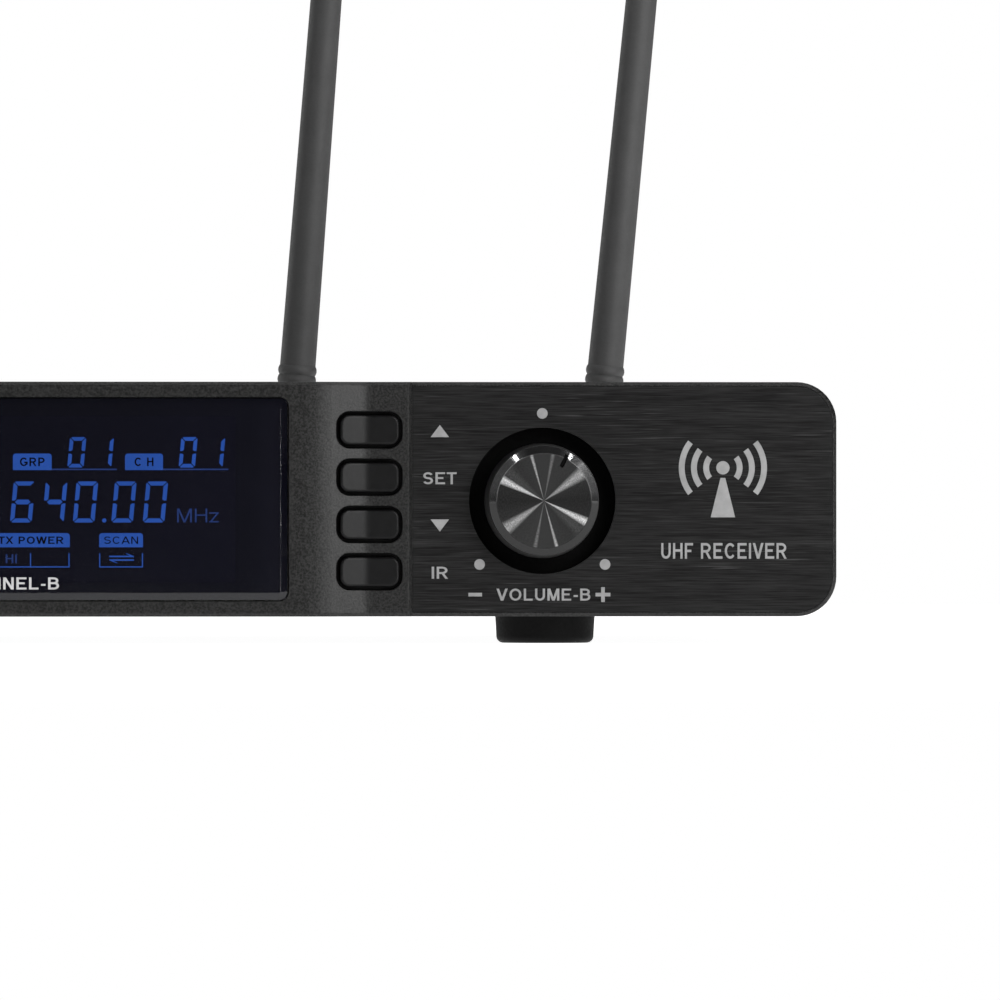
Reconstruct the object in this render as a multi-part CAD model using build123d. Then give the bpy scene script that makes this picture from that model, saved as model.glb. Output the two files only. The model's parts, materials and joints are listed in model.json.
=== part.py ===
from build123d import *
from math import cos, radians, sin
import os

# Two-channel UHF wireless receiver, one rack unit high, as separate pieces.
#
# Frame: +X to the right seen from the front, +Y to the back, +Z up. The origin is on the table, under the
# middle of the whole object. "Depth" below is the distance behind the brushed front plates, in millimetres,
# and (u, v) is a place on the front: u to the right of the middle, v above the middle of the panel.

# ---------------------------------------------------------------- driving dimensions
PANEL_W = 420.0
PANEL_H = 44.0
PANEL_CORNER = 7.5
CASE_DEPTH = 200.0
FOOT_H = 5.2
SHEET = 1.2
WALL = 2.5
RIM = 0.8
EDGE = 0.65
CENTRE_RISE = 4.2
SHOULDER_RISE = 0.8
KNOB_OUT = 6.5
WHIP_LENGTH = 180.0
INNER_LEAN = 4.43
OUTER_LEAN = 5.59

# ---------------------------------------------------------------- places on the front
WINDOW_W = 213.8
WINDOW_H = 38.2
WINDOW_CORNER = 1.8
SLOPE_START = 112.6
SLOPE_END = 121.6
CENTRE_END = 130.1
SLOPE_TOP_R = 14.0
SLOPE_FOOT_R = 5.0
CONTROL_V = -0.3
BUTTON_U = 122.1
BUTTON_PITCH = 8.86
BUTTON_HOLE = (12.5, 7.0, 2.6)
BUTTON_SIZE = (11.1, 5.5, 1.7)
BUTTON_PROUD = 1.1
BUTTON_FLANGE = (13.4, 8.3, 1.0)
SWITCH_SIZE = (6.0, 6.0, 0.4)
SWITCH_NEAR = 5.6
PLUNGER_R = 1.6
KNOB_U = 154.65
KNOB_HOLE_R = 13.75
WELL_R = 14.0
WELL_FLANGE_R = 15.6
WELL_SKIN = 0.8
POWER_U = -178.0
POWER_HOLE_R = 5.2
IR_U = 101.5

# ---------------------------------------------------------------- depths
BEZEL_DEPTH = 14.0
FLANGE_NEAR = 2.6
FLANGE_FAR = 3.5
STEM_FAR = 4.35
BUTTON_BEND_R = 4.0
FASCIA_T = 1.2
LENS_SEAT = -2.2
LENS_BEVEL = 1.4
WELL_FLOOR = 3.4
LCD_HALF_W = 98.0
LCD_HALF_H = 16.6
LCD_NEAR = LENS_SEAT + 0.2
LCD_T = 2.2
FRONT_BOARD = (380.0, 37.0)
BOARD_NEAR = 7.5
BOARD_T = 1.6
BOARD_FAR = BOARD_NEAR + BOARD_T
PIVOT_DEPTH = CASE_DEPTH + 28.0
EAR_R = 5.6
EAR_SPAN = 11.4
FORK_GAP = 5.0
FORK_CUT_R = 5.4
PIN_R = 1.2

# ---------------------------------------------------------------- aerials
FERRULE_R = 4.3
FERRULE_LOW = 7.6
FERRULE_TOP = 17.2
BEAD_COUNT = 5
BEAD_PITCH = 1.9
BEAD_TOP = 26.1
BEAD_R = 3.9
NECK_R = 3.6
TIP_R = 2.7
KNURL_COUNT = 26
KNURL_R = 7.2
PLUG_R = 4.75
PLUG_BORE_R = 3.2
SNAP_RING_R = 5.4
COLLAR_R = 6.0
PLUG_STEPS = (-22.0, -15.7, -10.9, -7.0)
SNAP_RING = (-15.6, -14.8)

# ---------------------------------------------------------------- the frame
OVERALL_DEPTH = KNOB_OUT + PIVOT_DEPTH + EAR_R
FRONT_Y = KNOB_OUT - OVERALL_DEPTH / 2
MID_Z = FOOT_H + PANEL_H / 2
FRONT = Plane(origin=(0, FRONT_Y, MID_Z), x_dir=(1, 0, 0), z_dir=(0, -1, 0)).location

# ---------------------------------------------------------------- sheet metal case
CASE_GAP = 0.7
CASE_LOW = FOOT_H + CASE_GAP
CASE_HIGH = FOOT_H + PANEL_H - CASE_GAP
COVER_HALF = 206.5
TRAY_HALF = COVER_HALF - SHEET - 0.2
FLOOR_TOP = CASE_LOW + SHEET
COVER_UNDER = CASE_HIGH - SHEET
TAB_IN = 186.0
TAB_HOLE_U = 195.0
TAB_HOLE_V = 13.0
VENT_COUNT = 14
VENT_PITCH = 5.0
VENT_FIRST = 84.0
VENT_SIZE = (2.0, 17.0)
VENT_V = 4.0
RACK_DEPTHS = (30.0, 60.0)
RACK_V = 12.0
RACK_HOLE_R = 2.1
COVER_SCREW_DEPTHS = (22.0, 107.0, 186.0)
COVER_SCREW_V = -13.0

# ---------------------------------------------------------------- screws, feet and boards
SCREW_R = 1.5
SCREW_HOLE_R = 1.6
HEAD_R = 2.8
HEAD_H = 1.7
RECESS = (3.2, 0.7, 1.6)
FOOT_PLACES = ((156.8, 32.0), (164.0, 170.0))
FOOT_R = 9.5
FOOT_RECESS_R = 4.0
FOOT_RECESS_H = 3.2
POST_US = (109.0, 140.0)
POST_V = 15.5
POST_R = 2.4
BOSS_R = 3.2
MAIN_HALF = 185.0
MAIN_DEPTHS = (62.0, 184.0)
MAIN_LOW = FLOOR_TOP + 6.5
MAIN_TOP = MAIN_LOW + BOARD_T
STANDOFF_US = (-150.0, 0.0, 150.0)
STANDOFF_DEPTHS = (72.0, 174.0)
HEADER_W = 28.0
HEADER_H = 6.0
RIBBON_U = 30.0
RIBBON_DEPTH = 76.0
RIBBON_Z = 30.0
RIBBON_T = 0.9
RIBBON_W = HEADER_W - 3
HEADER_T = 5.0
LEAD_R = 1.15
SHIELD_U = (96.0, 180.0)
SHIELD_DEPTHS = (118.0, 165.0)
SHIELD_H = 12.0
SHIELD_SKIN = 0.5
CAN_PARTS = (
    (74, 150, 5.0, 13.0),
    (60, 150, 5.0, 13.0),
    (74, 134, 4.0, 11.0),
    (-8, 150, 3.2, 8.0),
    (-20, 150, 3.2, 8.0),
    (-52, 150, 3.2, 8.0),
    (-64, 150, 3.2, 8.0),
)
CHIP_PARTS = (
    (0, 108, 20, 20, 1.6),
    (-60, 108, 12, 16, 1.8),
    (60, 108, 12, 16, 1.8),
    (-110, 92, 14, 14, 1.6),
    (110, 92, 14, 14, 1.6),
    (40, 134, 10, 12, 5.0),
    (92, 76, 14, 10, 9.0),
)

# ---------------------------------------------------------------- rear connectors, as u seen from the front
INNER_ANTENNA_U = 115.0
OUTER_ANTENNA_U = 176.7
XLR_US = (-62.0, -24.0)
XLR_BORE_R = 8.2
XLR_SCREW = (9.5, 12.0)
XLR_FLANGE = (26.0, 31.0, 3.0)
XLR_HOLE_R = 12.0
XLR_INNER_R = 7.0
XLR_PIN_R = 1.2
XLR_PIN_CIRCLE = 4.4
BNC_HOLE_R = 6.4
JACK_U = 14.0
JACK_HOLE_R = 5.6
JACK_BORE_R = 3.2
JACK_BORE_LENGTH = 32.0
LEVEL_U = 42.0
LEVEL_TRAVEL = 4.0
LEVEL_SLOT_H = 4.0
DC_U = 74.0
DC_HOLE_R = 4.6
DC_BORE_R = 2.85
DC_PIN_R = 1.0

BUTTON_NAMES = ("up", "set", "down", "ir")
ANTENNAS = (
    ("left_outer", -OUTER_ANTENNA_U, -OUTER_LEAN),
    ("left_inner", -INNER_ANTENNA_U, -INNER_LEAN),
    ("right_inner", INNER_ANTENNA_U, INNER_LEAN),
    ("right_outer", OUTER_ANTENNA_U, OUTER_LEAN),
)


# ---------------------------------------------------------------- helpers
def plate(sketch, near, far):
    """A sketch drawn on the front (u, v), as a solid between two depths."""
    return FRONT * (Pos(0, 0, -far) * extrude(sketch, far - near))


def block(u0, u1, near, far, z0, z1):
    """A box between two u, two depths and two heights above the table."""
    size = (u1 - u0, far - near, z1 - z0)
    return Pos((u0 + u1) / 2, FRONT_Y + (near + far) / 2, (z0 + z1) / 2) * Box(*size)


def rod(u, v, radius, near, far):
    """A round bar along the depth."""
    return plate(Pos(u, v) * Circle(radius), near, far)


def turned(points, u=0.0, v=0.0):
    """A solid turned about the depth axis through (u, v), from (radius, depth) points."""
    outline = Polyline([(r, -depth) for r, depth in points], close=True)
    return FRONT * Pos(u, v, 0) * revolve(Plane.XZ * make_face(outline), Axis.Z)


def upright(u, depth, radius, z0, z1):
    """A round bar along Z."""
    return Pos(u, FRONT_Y + depth, (z0 + z1) / 2) * Cylinder(radius, z1 - z0)


def both_sides(shape):
    """A shape and its mirror image on the other side of the unit."""
    return [shape, mirror(shape, Plane.YZ)]


def screw(origin, outward, length):
    """A pan head screw with a cross recess, its head standing on origin."""
    head = Pos(0, 0, HEAD_H / 2) * Cylinder(HEAD_R, HEAD_H)
    head = chamfer(head.edges().sort_by(Axis.Z)[-1], 0.5)
    slot = Box(*RECESS)
    recess = Pos(0, 0, HEAD_H) * (slot + Rot(0, 0, 90) * slot)
    shank = Pos(0, 0, -length / 2) * Cylinder(SCREW_R, length)
    return Plane(origin=origin, z_dir=outward).location * (head + shank - recess)


def place(u, depth, v=0.0):
    """World coordinates of a place given as u, depth and v."""
    return (u, FRONT_Y + depth, MID_Z + v)


def save(name, *solids):
    """Writes one node, which may hold several separate solids."""
    shape = solids[0] if len(solids) == 1 else Compound(children=list(solids))
    export_step(shape, f"parts/{name}.step")


# ---------------------------------------------------------------- front moulding and plates
def plan_face(points):
    """A flat face from an outline seen from above, as (u, depth) points, at the middle's height."""
    return make_face(Polyline([(u, FRONT_Y + depth) for u, depth in points], close=True))


def raised_centre():
    """The raised middle of the front, with soft slopes down to the plates at each side."""
    right = [
        (SLOPE_START, -CENTRE_RISE),
        (SLOPE_END, -SHOULDER_RISE),
        (CENTRE_END - EDGE, -SHOULDER_RISE),
        (CENTRE_END, -SHOULDER_RISE + EDGE),
        (CENTRE_END, WALL),
    ]
    plan = plan_face([(-u, depth) for u, depth in reversed(right)] + right)
    for corner_u, radius in ((SLOPE_START, SLOPE_TOP_R), (SLOPE_END, SLOPE_FOOT_R)):
        corners = [p for p in plan.vertices() if abs(abs(p.X) - corner_u) < 0.01]
        plan = fillet(corners, radius)
    solid = Pos(0, 0, FOOT_H) * extrude(plan, PANEL_H)
    lip = [
        e
        for e in solid.edges()
        if abs(abs(e.center().Z - MID_Z) - PANEL_H / 2) < 0.01
        and e.center().Y < FRONT_Y - SHOULDER_RISE + 0.01
    ]
    return chamfer(lip, EDGE)


def fascia_outline(gap=0.0):
    """A side plate's outline on the right: square against the centre, round at the outer corners."""
    left = CENTRE_END + 0.1 - gap
    right = PANEL_W / 2 - RIM + gap
    height = PANEL_H - 2 * RIM + 2 * gap
    outline = Pos((left + right) / 2, 0) * Rectangle(right - left, height)
    corners = outline.vertices().group_by(Axis.X)[-1]
    return fillet(corners, PANEL_CORNER - RIM)


def button_spots():
    """(name, v) of the four keys of one channel, from the top."""
    return [(n, CONTROL_V + (1.5 - i) * BUTTON_PITCH) for i, n in enumerate(BUTTON_NAMES)]


def front_bezel():
    """The moulded front: rim, raised centre, display opening, key holes, knob holes and screw posts."""
    shell = plate(RectangleRounded(PANEL_W, PANEL_H, PANEL_CORNER), 0, BEZEL_DEPTH)
    shell = chamfer(shell.faces().sort_by(Axis.Y)[0].edges(), EDGE)
    shell += raised_centre()
    cavity = RectangleRounded(PANEL_W - 2 * WALL, PANEL_H - 2 * WALL, PANEL_CORNER - WALL)
    shell -= plate(cavity, WALL, BEZEL_DEPTH)
    shell -= plate(RectangleRounded(WINDOW_W, WINDOW_H, WINDOW_CORNER), -CENTRE_RISE - 1, LENS_SEAT)
    shell -= plate(RectangleRounded(WINDOW_W - 4, WINDOW_H - 3.6, 1.0), LENS_SEAT, WALL)
    for pocket in both_sides(plate(fascia_outline(0.05), -1, FASCIA_T)):
        shell -= pocket
    for side in (-1, 1):
        for _, v in button_spots():
            hole = Pos(side * BUTTON_U, v) * RectangleRounded(*BUTTON_HOLE)
            shell -= plate(hole, -CENTRE_RISE - 1, WALL)
        shell -= rod(side * KNOB_U, CONTROL_V, WELL_R + 0.2, 0, WALL)
        shell -= rod(side * KNOB_U, CONTROL_V, WELL_FLANGE_R + 0.1, 0, FASCIA_T + WELL_SKIN)
        for v in (-TAB_HOLE_V, TAB_HOLE_V):
            boss = Pos(side * TAB_HOLE_U, v) * (Circle(BOSS_R) - Circle(SCREW_HOLE_R))
            shell += plate(boss, WALL, BEZEL_DEPTH)
        for u in POST_US:
            for v in (-POST_V, POST_V):
                post = Pos(side * u, v) * (Circle(POST_R) - Circle(SCREW_HOLE_R))
                shell += plate(post, WALL, BOARD_NEAR)
    shell -= rod(POWER_U, CONTROL_V, POWER_HOLE_R + 0.1, 0, WALL)
    return shell


def fascia(side):
    """A brushed aluminium side plate. The left one also has the power button's hole."""
    outline = fascia_outline() - Pos(KNOB_U, CONTROL_V) * Circle(KNOB_HOLE_R)
    sheet = plate(outline, 0, FASCIA_T)
    if side < 0:
        sheet = mirror(sheet, Plane.YZ) - rod(POWER_U, CONTROL_V, POWER_HOLE_R, 0, FASCIA_T)
    return sheet


def knob_well(u):
    """A black dish behind the plate, in which the knob sits."""
    inner, bore = WELL_R - 0.4, BUSHING_R + 0.2
    return turned(
        [
            (bore, WELL_FLOOR),
            (inner, WELL_FLOOR),
            (inner, FASCIA_T),
            (WELL_FLANGE_R, FASCIA_T),
            (WELL_FLANGE_R, FASCIA_T + WELL_SKIN),
            (WELL_R, FASCIA_T + WELL_SKIN),
            (WELL_R, WELL_FLOOR + 1.2),
            (bore, WELL_FLOOR + 1.2),
        ],
        u,
        CONTROL_V,
    )


# ---------------------------------------------------------------- display and front board
def display_window():
    """The smoked lens, standing proud of the bezel by its bevel."""
    front = -CENTRE_RISE - LENS_BEVEL
    outline = RectangleRounded(WINDOW_W - 0.3, WINDOW_H - 0.3, WINDOW_CORNER - 0.15)
    lens = plate(outline, front, LENS_SEAT)
    return chamfer(lens.faces().sort_by(Axis.Y)[0].edges(), LENS_BEVEL)


def lcd_panel():
    """The liquid crystal glass, two panes with the lower one longer for its contacts."""
    back_pane = Rectangle(2 * LCD_HALF_W, 2 * LCD_HALF_H)
    front_pane = Pos(0, 0.8) * Rectangle(2 * LCD_HALF_W - 1, 2 * LCD_HALF_H - 1.6)
    middle = LCD_NEAR + LCD_T / 2
    return plate(front_pane, LCD_NEAR, middle) + plate(back_pane, middle, LCD_NEAR + LCD_T)


def lcd_backlight():
    """The light box between the glass and the front board."""
    outline = Rectangle(2 * LCD_HALF_W, 2 * LCD_HALF_H)
    inside = Rectangle(2 * LCD_HALF_W - 4, 2 * LCD_HALF_H - 4)
    near = LCD_NEAR + LCD_T
    return plate(outline, near, BOARD_NEAR) - plate(inside, near + 2, BOARD_NEAR)


def front_board():
    """The long circuit board behind the front, carrying display, switches and pots."""
    outline = Rectangle(*FRONT_BOARD)
    for side in (-1, 1):
        outline -= Pos(side * KNOB_U, CONTROL_V) * Circle(BUSHING_R + 0.2)
        for u in POST_US:
            for v in (-POST_V, POST_V):
                outline -= Pos(side * u, v) * Circle(SCREW_HOLE_R)
    outline -= Pos(POWER_U, CONTROL_V) * Circle(2.0)
    return plate(outline, BOARD_NEAR, BOARD_FAR)


def ir_emitter(u):
    """An infrared diode that shines through the window's end to set up a microphone."""
    body = rod(u, 0, 1.5, 2.0, BOARD_NEAR) + rod(u, 0, 1.75, BOARD_NEAR - 1, BOARD_NEAR)
    return fillet(body.edges().sort_by(Axis.Y)[0], 1.2)


def button_switch(u, v):
    """The dome switch behind one key."""
    body = Pos(u, v) * RectangleRounded(*SWITCH_SIZE)
    return plate(body, SWITCH_NEAR, BOARD_NEAR) + rod(u, v, PLUNGER_R, SWITCH_NEAR - 0.45, SWITCH_NEAR)


def button_face():
    """The plan of a key's face: the slope of the front, lifted and carried on to both sides."""
    slope = (CENTRE_RISE - SHOULDER_RISE) / (SLOPE_END - SLOPE_START)
    inner, outer = SLOPE_START - 5, CENTRE_END + 5
    foot = -SHOULDER_RISE - BUTTON_PROUD
    top = foot - slope * (SLOPE_END - inner)
    plan = plan_face(
        [(inner, top), (SLOPE_END, foot), (outer, foot), (outer, FLANGE_NEAR), (inner, FLANGE_NEAR)]
    )
    bend = [p for p in plan.vertices() if abs(p.X - SLOPE_END) < 0.01]
    return fillet(bend, BUTTON_BEND_R)


def button_cap(side, v):
    """A key whose face follows the slope behind it, with a flange that keeps it in and a stem."""
    cap = plate(Pos(BUTTON_U, v) * RectangleRounded(*BUTTON_SIZE), -2 * CENTRE_RISE, FLANGE_NEAR)
    cap = cap & (Pos(0, 0, FOOT_H) * extrude(button_face(), PANEL_H))
    face = [f for f in cap.faces() if f.normal_at().Y < -0.5]
    shared = [e for f in face for e in f.edges()]
    rim = [e for e in shared if not crosses_face(e)]
    cap = fillet(rim, 0.4)
    cap += plate(Pos(BUTTON_U, v) * RectangleRounded(*BUTTON_FLANGE), FLANGE_NEAR, FLANGE_FAR)
    cap += rod(BUTTON_U, v, PLUNGER_R, FLANGE_FAR, STEM_FAR)
    return cap if side > 0 else mirror(cap, Plane.YZ)


def crosses_face(edge):
    """True for the upright lines where a key's face bends."""
    size = edge.bounding_box().size
    return size.X < 0.01 and size.Z > BUTTON_SIZE[1] / 2 and abs(edge.center().X - BUTTON_U) < 5


def power_button():
    """The round push button on the left plate."""
    return turned(
        [
            (0, -2.2),
            (4.3, -2.2),
            (4.9, -1.6),
            (4.9, 2.7),
            (6.4, 2.7),
            (6.4, 3.7),
            (1.5, 3.7),
            (1.5, 5.0),
            (0, 5.0),
        ],
        POWER_U,
        CONTROL_V,
    )


def power_switch():
    """The switch behind the power button, on the back of the front board."""
    body = plate(Pos(POWER_U, CONTROL_V) * Rectangle(10, 10), BOARD_FAR, 20)
    return body + rod(POWER_U, CONTROL_V, 1.5, 6.6, BOARD_FAR)


# ---------------------------------------------------------------- volume controls
SHAFT_R = 3.0
BUSHING_R = 3.5
KNOB_BASE_R = 10.8
KNOB_TOP_R = 10.25
KNOB_FACE_R = 8.95
KNOB_GRIP_R = 5.0
KNOB_BASE = 2.6
SHAFT_END = -KNOB_OUT + 3.2
GRIP_END = 0.4
POINTER_ANGLE = 27.0
POINTER_R = 8.9
POINTER_SIZE = (3.8, 0.8)
POT_SIZE = (16.5, 16.5, 1.5)
POT_FAR = 16.6


def volume_knob(u):
    """A turned aluminium knob, hollow behind, with a milled pointer."""
    body = turned(
        [
            (0, -KNOB_OUT),
            (KNOB_FACE_R, -KNOB_OUT),
            (KNOB_TOP_R, -KNOB_OUT + 0.9),
            (KNOB_BASE_R, KNOB_BASE),
            (KNOB_BASE_R - 1.5, KNOB_BASE),
            (KNOB_TOP_R - 1.15, SHAFT_END - 0.4),
            (KNOB_GRIP_R, SHAFT_END - 0.4),
            (KNOB_GRIP_R, GRIP_END),
            (SHAFT_R + 0.02, GRIP_END),
            (SHAFT_R + 0.02, SHAFT_END - 0.2),
            (0, SHAFT_END - 0.2),
        ]
    )
    notch = Rot(0, 0, -POINTER_ANGLE) * Pos(0, POINTER_R) * SlotOverall(*POINTER_SIZE, rotation=90)
    return Pos(u, 0, CONTROL_V) * (body - plate(notch, -KNOB_OUT - 1, -KNOB_OUT + 0.8))


def pot_shaft(u):
    """The control's shaft, flat on one side where the knob grips it."""
    shaft = rod(0, 0, SHAFT_R, SHAFT_END, 13.0)
    flat = plate(Pos(0, -3.6) * Rectangle(8, 3), SHAFT_END, GRIP_END - 0.1)
    return Pos(u, 0, CONTROL_V) * (shaft - flat)


def volume_pot(u):
    """The control's body behind the board, with its threaded bushing."""
    body = plate(Pos(u, CONTROL_V) * RectangleRounded(*POT_SIZE), BOARD_FAR, POT_FAR)
    bushing = rod(u, CONTROL_V, BUSHING_R, 0.9, BOARD_FAR)
    return body + bushing - rod(u, CONTROL_V, SHAFT_R + 0.05, 0.9, 13.1)


def hex_nut(u, v, bore, across, near, far):
    """A hexagon nut on a bushing along the depth."""
    outline = Pos(u, v) * (RegularPolygon(across / 2, 6, major_radius=False) - Circle(bore))
    return plate(outline, near, far)


# ---------------------------------------------------------------- sheet metal
def side_cutters():
    """Vents, rack ear holes and screw holes, through both sides of the case."""
    span = 2 * COVER_HALF + 4
    cutters = []
    for i in range(VENT_COUNT):
        slot = Pos(0, FRONT_Y + VENT_FIRST + i * VENT_PITCH, MID_Z + VENT_V) * Box(span, *VENT_SIZE)
        cutters.append(slot)
    holes = [(depth, v, RACK_HOLE_R) for depth in RACK_DEPTHS for v in (-RACK_V, RACK_V)]
    holes += [(depth, COVER_SCREW_V, SCREW_HOLE_R) for depth in COVER_SCREW_DEPTHS]
    for depth, v, radius in holes:
        cutters.append(Pos(*place(0, depth, v)) * Rot(0, 90, 0) * Cylinder(radius, span))
    return cutters


def chassis_tray():
    """The bent steel tray: floor, full height sides and the tabs that hold front and rear."""
    tray = block(-TRAY_HALF, TRAY_HALF, BEZEL_DEPTH, CASE_DEPTH, CASE_LOW, FLOOR_TOP)
    tab_top = CASE_HIGH - 2.2
    for side in (-1, 1):
        out, inner = side * TRAY_HALF, side * (TRAY_HALF - SHEET)
        rear = CASE_DEPTH - SHEET
        tray += block(*sorted((inner, out)), BEZEL_DEPTH, rear, FLOOR_TOP, tab_top)
        for near in (BEZEL_DEPTH, rear - SHEET):
            tab = block(*sorted((side * TAB_IN, inner)), near, near + SHEET, FLOOR_TOP, tab_top)
            for v in (-TAB_HOLE_V, TAB_HOLE_V):
                tab -= rod(side * TAB_HOLE_U, v, SCREW_HOLE_R, near, near + SHEET)
            tray += tab
        for u, depth in FOOT_PLACES:
            tray -= upright(side * u, depth, SCREW_HOLE_R, CASE_LOW, FLOOR_TOP)
    for cutter in side_cutters():
        tray -= cutter
    return tray


def top_cover():
    """The folded cover: top and two sides, with vents."""
    cover = block(-COVER_HALF, COVER_HALF, BEZEL_DEPTH, CASE_DEPTH, CASE_LOW, CASE_HIGH)
    inside = COVER_HALF - SHEET
    long_edges = [e for e in cover.edges().filter_by(Axis.Y) if e.center().Z > MID_Z]
    cover = fillet(long_edges, 1.6)
    cover -= block(-inside, inside, BEZEL_DEPTH, CASE_DEPTH, CASE_LOW, COVER_UNDER)
    for cutter in side_cutters():
        cover -= cutter
    return cover


def rear_panel():
    """The flat rear panel with its connector holes."""
    half = COVER_HALF - SHEET - 0.1
    panel = block(-half, half, CASE_DEPTH - SHEET, CASE_DEPTH, FLOOR_TOP, COVER_UNDER - 0.1)
    holes = [(u, 0, BNC_HOLE_R) for _, u, _ in ANTENNAS]
    holes += [(u, 0, XLR_HOLE_R) for u in XLR_US]
    holes += [(u + sx * XLR_SCREW[0], sx * XLR_SCREW[1], SCREW_HOLE_R) for u in XLR_US for sx in (-1, 1)]
    holes += [(JACK_U, 0, JACK_HOLE_R), (DC_U, 0, DC_HOLE_R)]
    holes += [(s * TAB_HOLE_U, t * TAB_HOLE_V, SCREW_HOLE_R) for s in (-1, 1) for t in (-1, 1)]
    for u, v, radius in holes:
        panel -= rod(u, v, radius, CASE_DEPTH - SHEET, CASE_DEPTH)
    slot = Pos(LEVEL_U, 0) * RectangleRounded(LEVEL_TRAVEL + 4.4, LEVEL_SLOT_H, 0.5)
    return panel - plate(slot, CASE_DEPTH - SHEET, CASE_DEPTH)


# ---------------------------------------------------------------- boards inside
def main_board():
    """The main circuit board on its standoffs."""
    board = block(-MAIN_HALF, MAIN_HALF, *MAIN_DEPTHS, MAIN_LOW, MAIN_TOP)
    for u in STANDOFF_US:
        for depth in STANDOFF_DEPTHS:
            board -= upright(u, depth, SCREW_HOLE_R, MAIN_LOW, MAIN_TOP)
    return board


def board_parts():
    """The tall parts on the boards: capacitors, chips, coils and the ribbon's two headers."""
    parts = []
    for u, depth, radius, height in CAN_PARTS:
        parts.append(upright(u, depth, radius, MAIN_TOP, MAIN_TOP + height))
    for u, depth, w, d, height in CHIP_PARTS:
        near, far = depth - d / 2, depth + d / 2
        parts.append(block(u - w / 2, u + w / 2, near, far, MAIN_TOP, MAIN_TOP + height))
    left, right = RIBBON_U - HEADER_W / 2, RIBBON_U + HEADER_W / 2
    low, near = RIBBON_Z - HEADER_T / 2, RIBBON_DEPTH - HEADER_T / 2
    parts.append(block(left, right, BOARD_FAR, BOARD_FAR + HEADER_H, low, low + HEADER_T))
    parts.append(block(left, right, near, near + HEADER_T, MAIN_TOP, MAIN_TOP + HEADER_H))
    return parts


def tuner_shield(side):
    """A tinned can over one channel's radio section, open underneath."""
    high, skin = MAIN_TOP + SHIELD_H, SHIELD_SKIN
    u0, u1 = sorted(side * u for u in SHIELD_U)
    near, far = SHIELD_DEPTHS
    can = block(u0, u1, near, far, MAIN_TOP, high)
    can -= block(u0 + skin, u1 - skin, near + skin, far - skin, MAIN_TOP, high - skin)
    for u in (u0 + 14, u0 + 42, u0 + 70):
        can -= upright(u, (near + far) / 2, 2.0, high - skin, high)
    return can


def board_fixings():
    """Standoffs under the main board and the screws of both boards."""
    fixings = []
    for u in STANDOFF_US:
        for depth in STANDOFF_DEPTHS:
            outline = RegularPolygon(2.75, 6, major_radius=False) - Circle(SCREW_HOLE_R)
            post = extrude(outline, MAIN_LOW - FLOOR_TOP)
            fixings.append(Pos(u, FRONT_Y + depth, FLOOR_TOP) * post)
            fixings.append(screw((u, FRONT_Y + depth, MAIN_TOP), (0, 0, 1), 6.0))
    for u in POST_US:
        for v in (-POST_V, POST_V):
            for side in (-1, 1):
                fixings.append(screw(place(side * u, BOARD_FAR, v), (0, 1, 0), 5.5))
    return fixings


def ribbon_cable():
    """The flat cable from the front board to the main board."""
    start = BOARD_FAR + HEADER_H
    path = FilletPolyline(
        (start, RIBBON_Z), (RIBBON_DEPTH, RIBBON_Z), (RIBBON_DEPTH, MAIN_TOP + HEADER_H), radius=4.0
    )
    solid = extrude(Plane.YZ * trace(path, RIBBON_T), RIBBON_W)
    return Pos(RIBBON_U - RIBBON_W / 2, FRONT_Y, 0) * solid


def antenna_lead(u):
    """The coaxial lead from a socket's tail down to the main board."""
    start, turn = CASE_DEPTH - 12.0, CASE_DEPTH - 24.0
    path = FilletPolyline(
        place(u, start), place(u, turn), (u, FRONT_Y + turn, MAIN_TOP), radius=5.0
    )
    return sweep(Plane(origin=path @ 0, z_dir=path % 0) * Circle(LEAD_R), path)


# ---------------------------------------------------------------- rear connectors
LUG_DEPTH = CASE_DEPTH + 9.0
BARREL_R = 4.8


def bnc_socket(u):
    """A bayonet aerial socket: inner flange, thread, barrel with two lugs, centre contact and tail."""
    d = CASE_DEPTH
    body = turned(
        [
            (0, d - 12),
            (2.2, d - 12),
            (2.2, d - SHEET - 2),
            (7.5, d - SHEET - 2),
            (7.5, d - SHEET),
            (6.3, d - SHEET),
            (6.3, d + 2.9),
            (BARREL_R, d + 2.9),
            (BARREL_R, d + 12),
            (4.1, d + 12),
            (4.1, d + 4.2),
            (0.9, d + 4.2),
            (0.9, d + 10),
            (0, d + 10),
        ],
        u,
    )
    lugs = Pos(*place(u, LUG_DEPTH)) * Rot(0, 90, 0) * Cylinder(1.0, 11.2)
    return body + (lugs - rod(u, 0, BARREL_R - 0.1, LUG_DEPTH - 2, LUG_DEPTH + 2))


def xlr_shell(u):
    """A male output socket's metal shell with its square flange."""
    d = CASE_DEPTH
    flange = Pos(u, 0) * RectangleRounded(*XLR_FLANGE)
    for s in (-1, 1):
        flange -= Pos(u + s * XLR_SCREW[0], s * XLR_SCREW[1]) * Circle(SCREW_HOLE_R)
    shell = plate(flange, d, d + 1.6) + rod(u, 0, 11.0, d, d + 2.8) + rod(u, 0, XLR_HOLE_R - 0.2, d - 20, d)
    return shell - rod(u, 0, XLR_BORE_R, d - 16, d + 3) - rod(u, 0, XLR_INNER_R, d - 20, d - 15)


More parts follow.
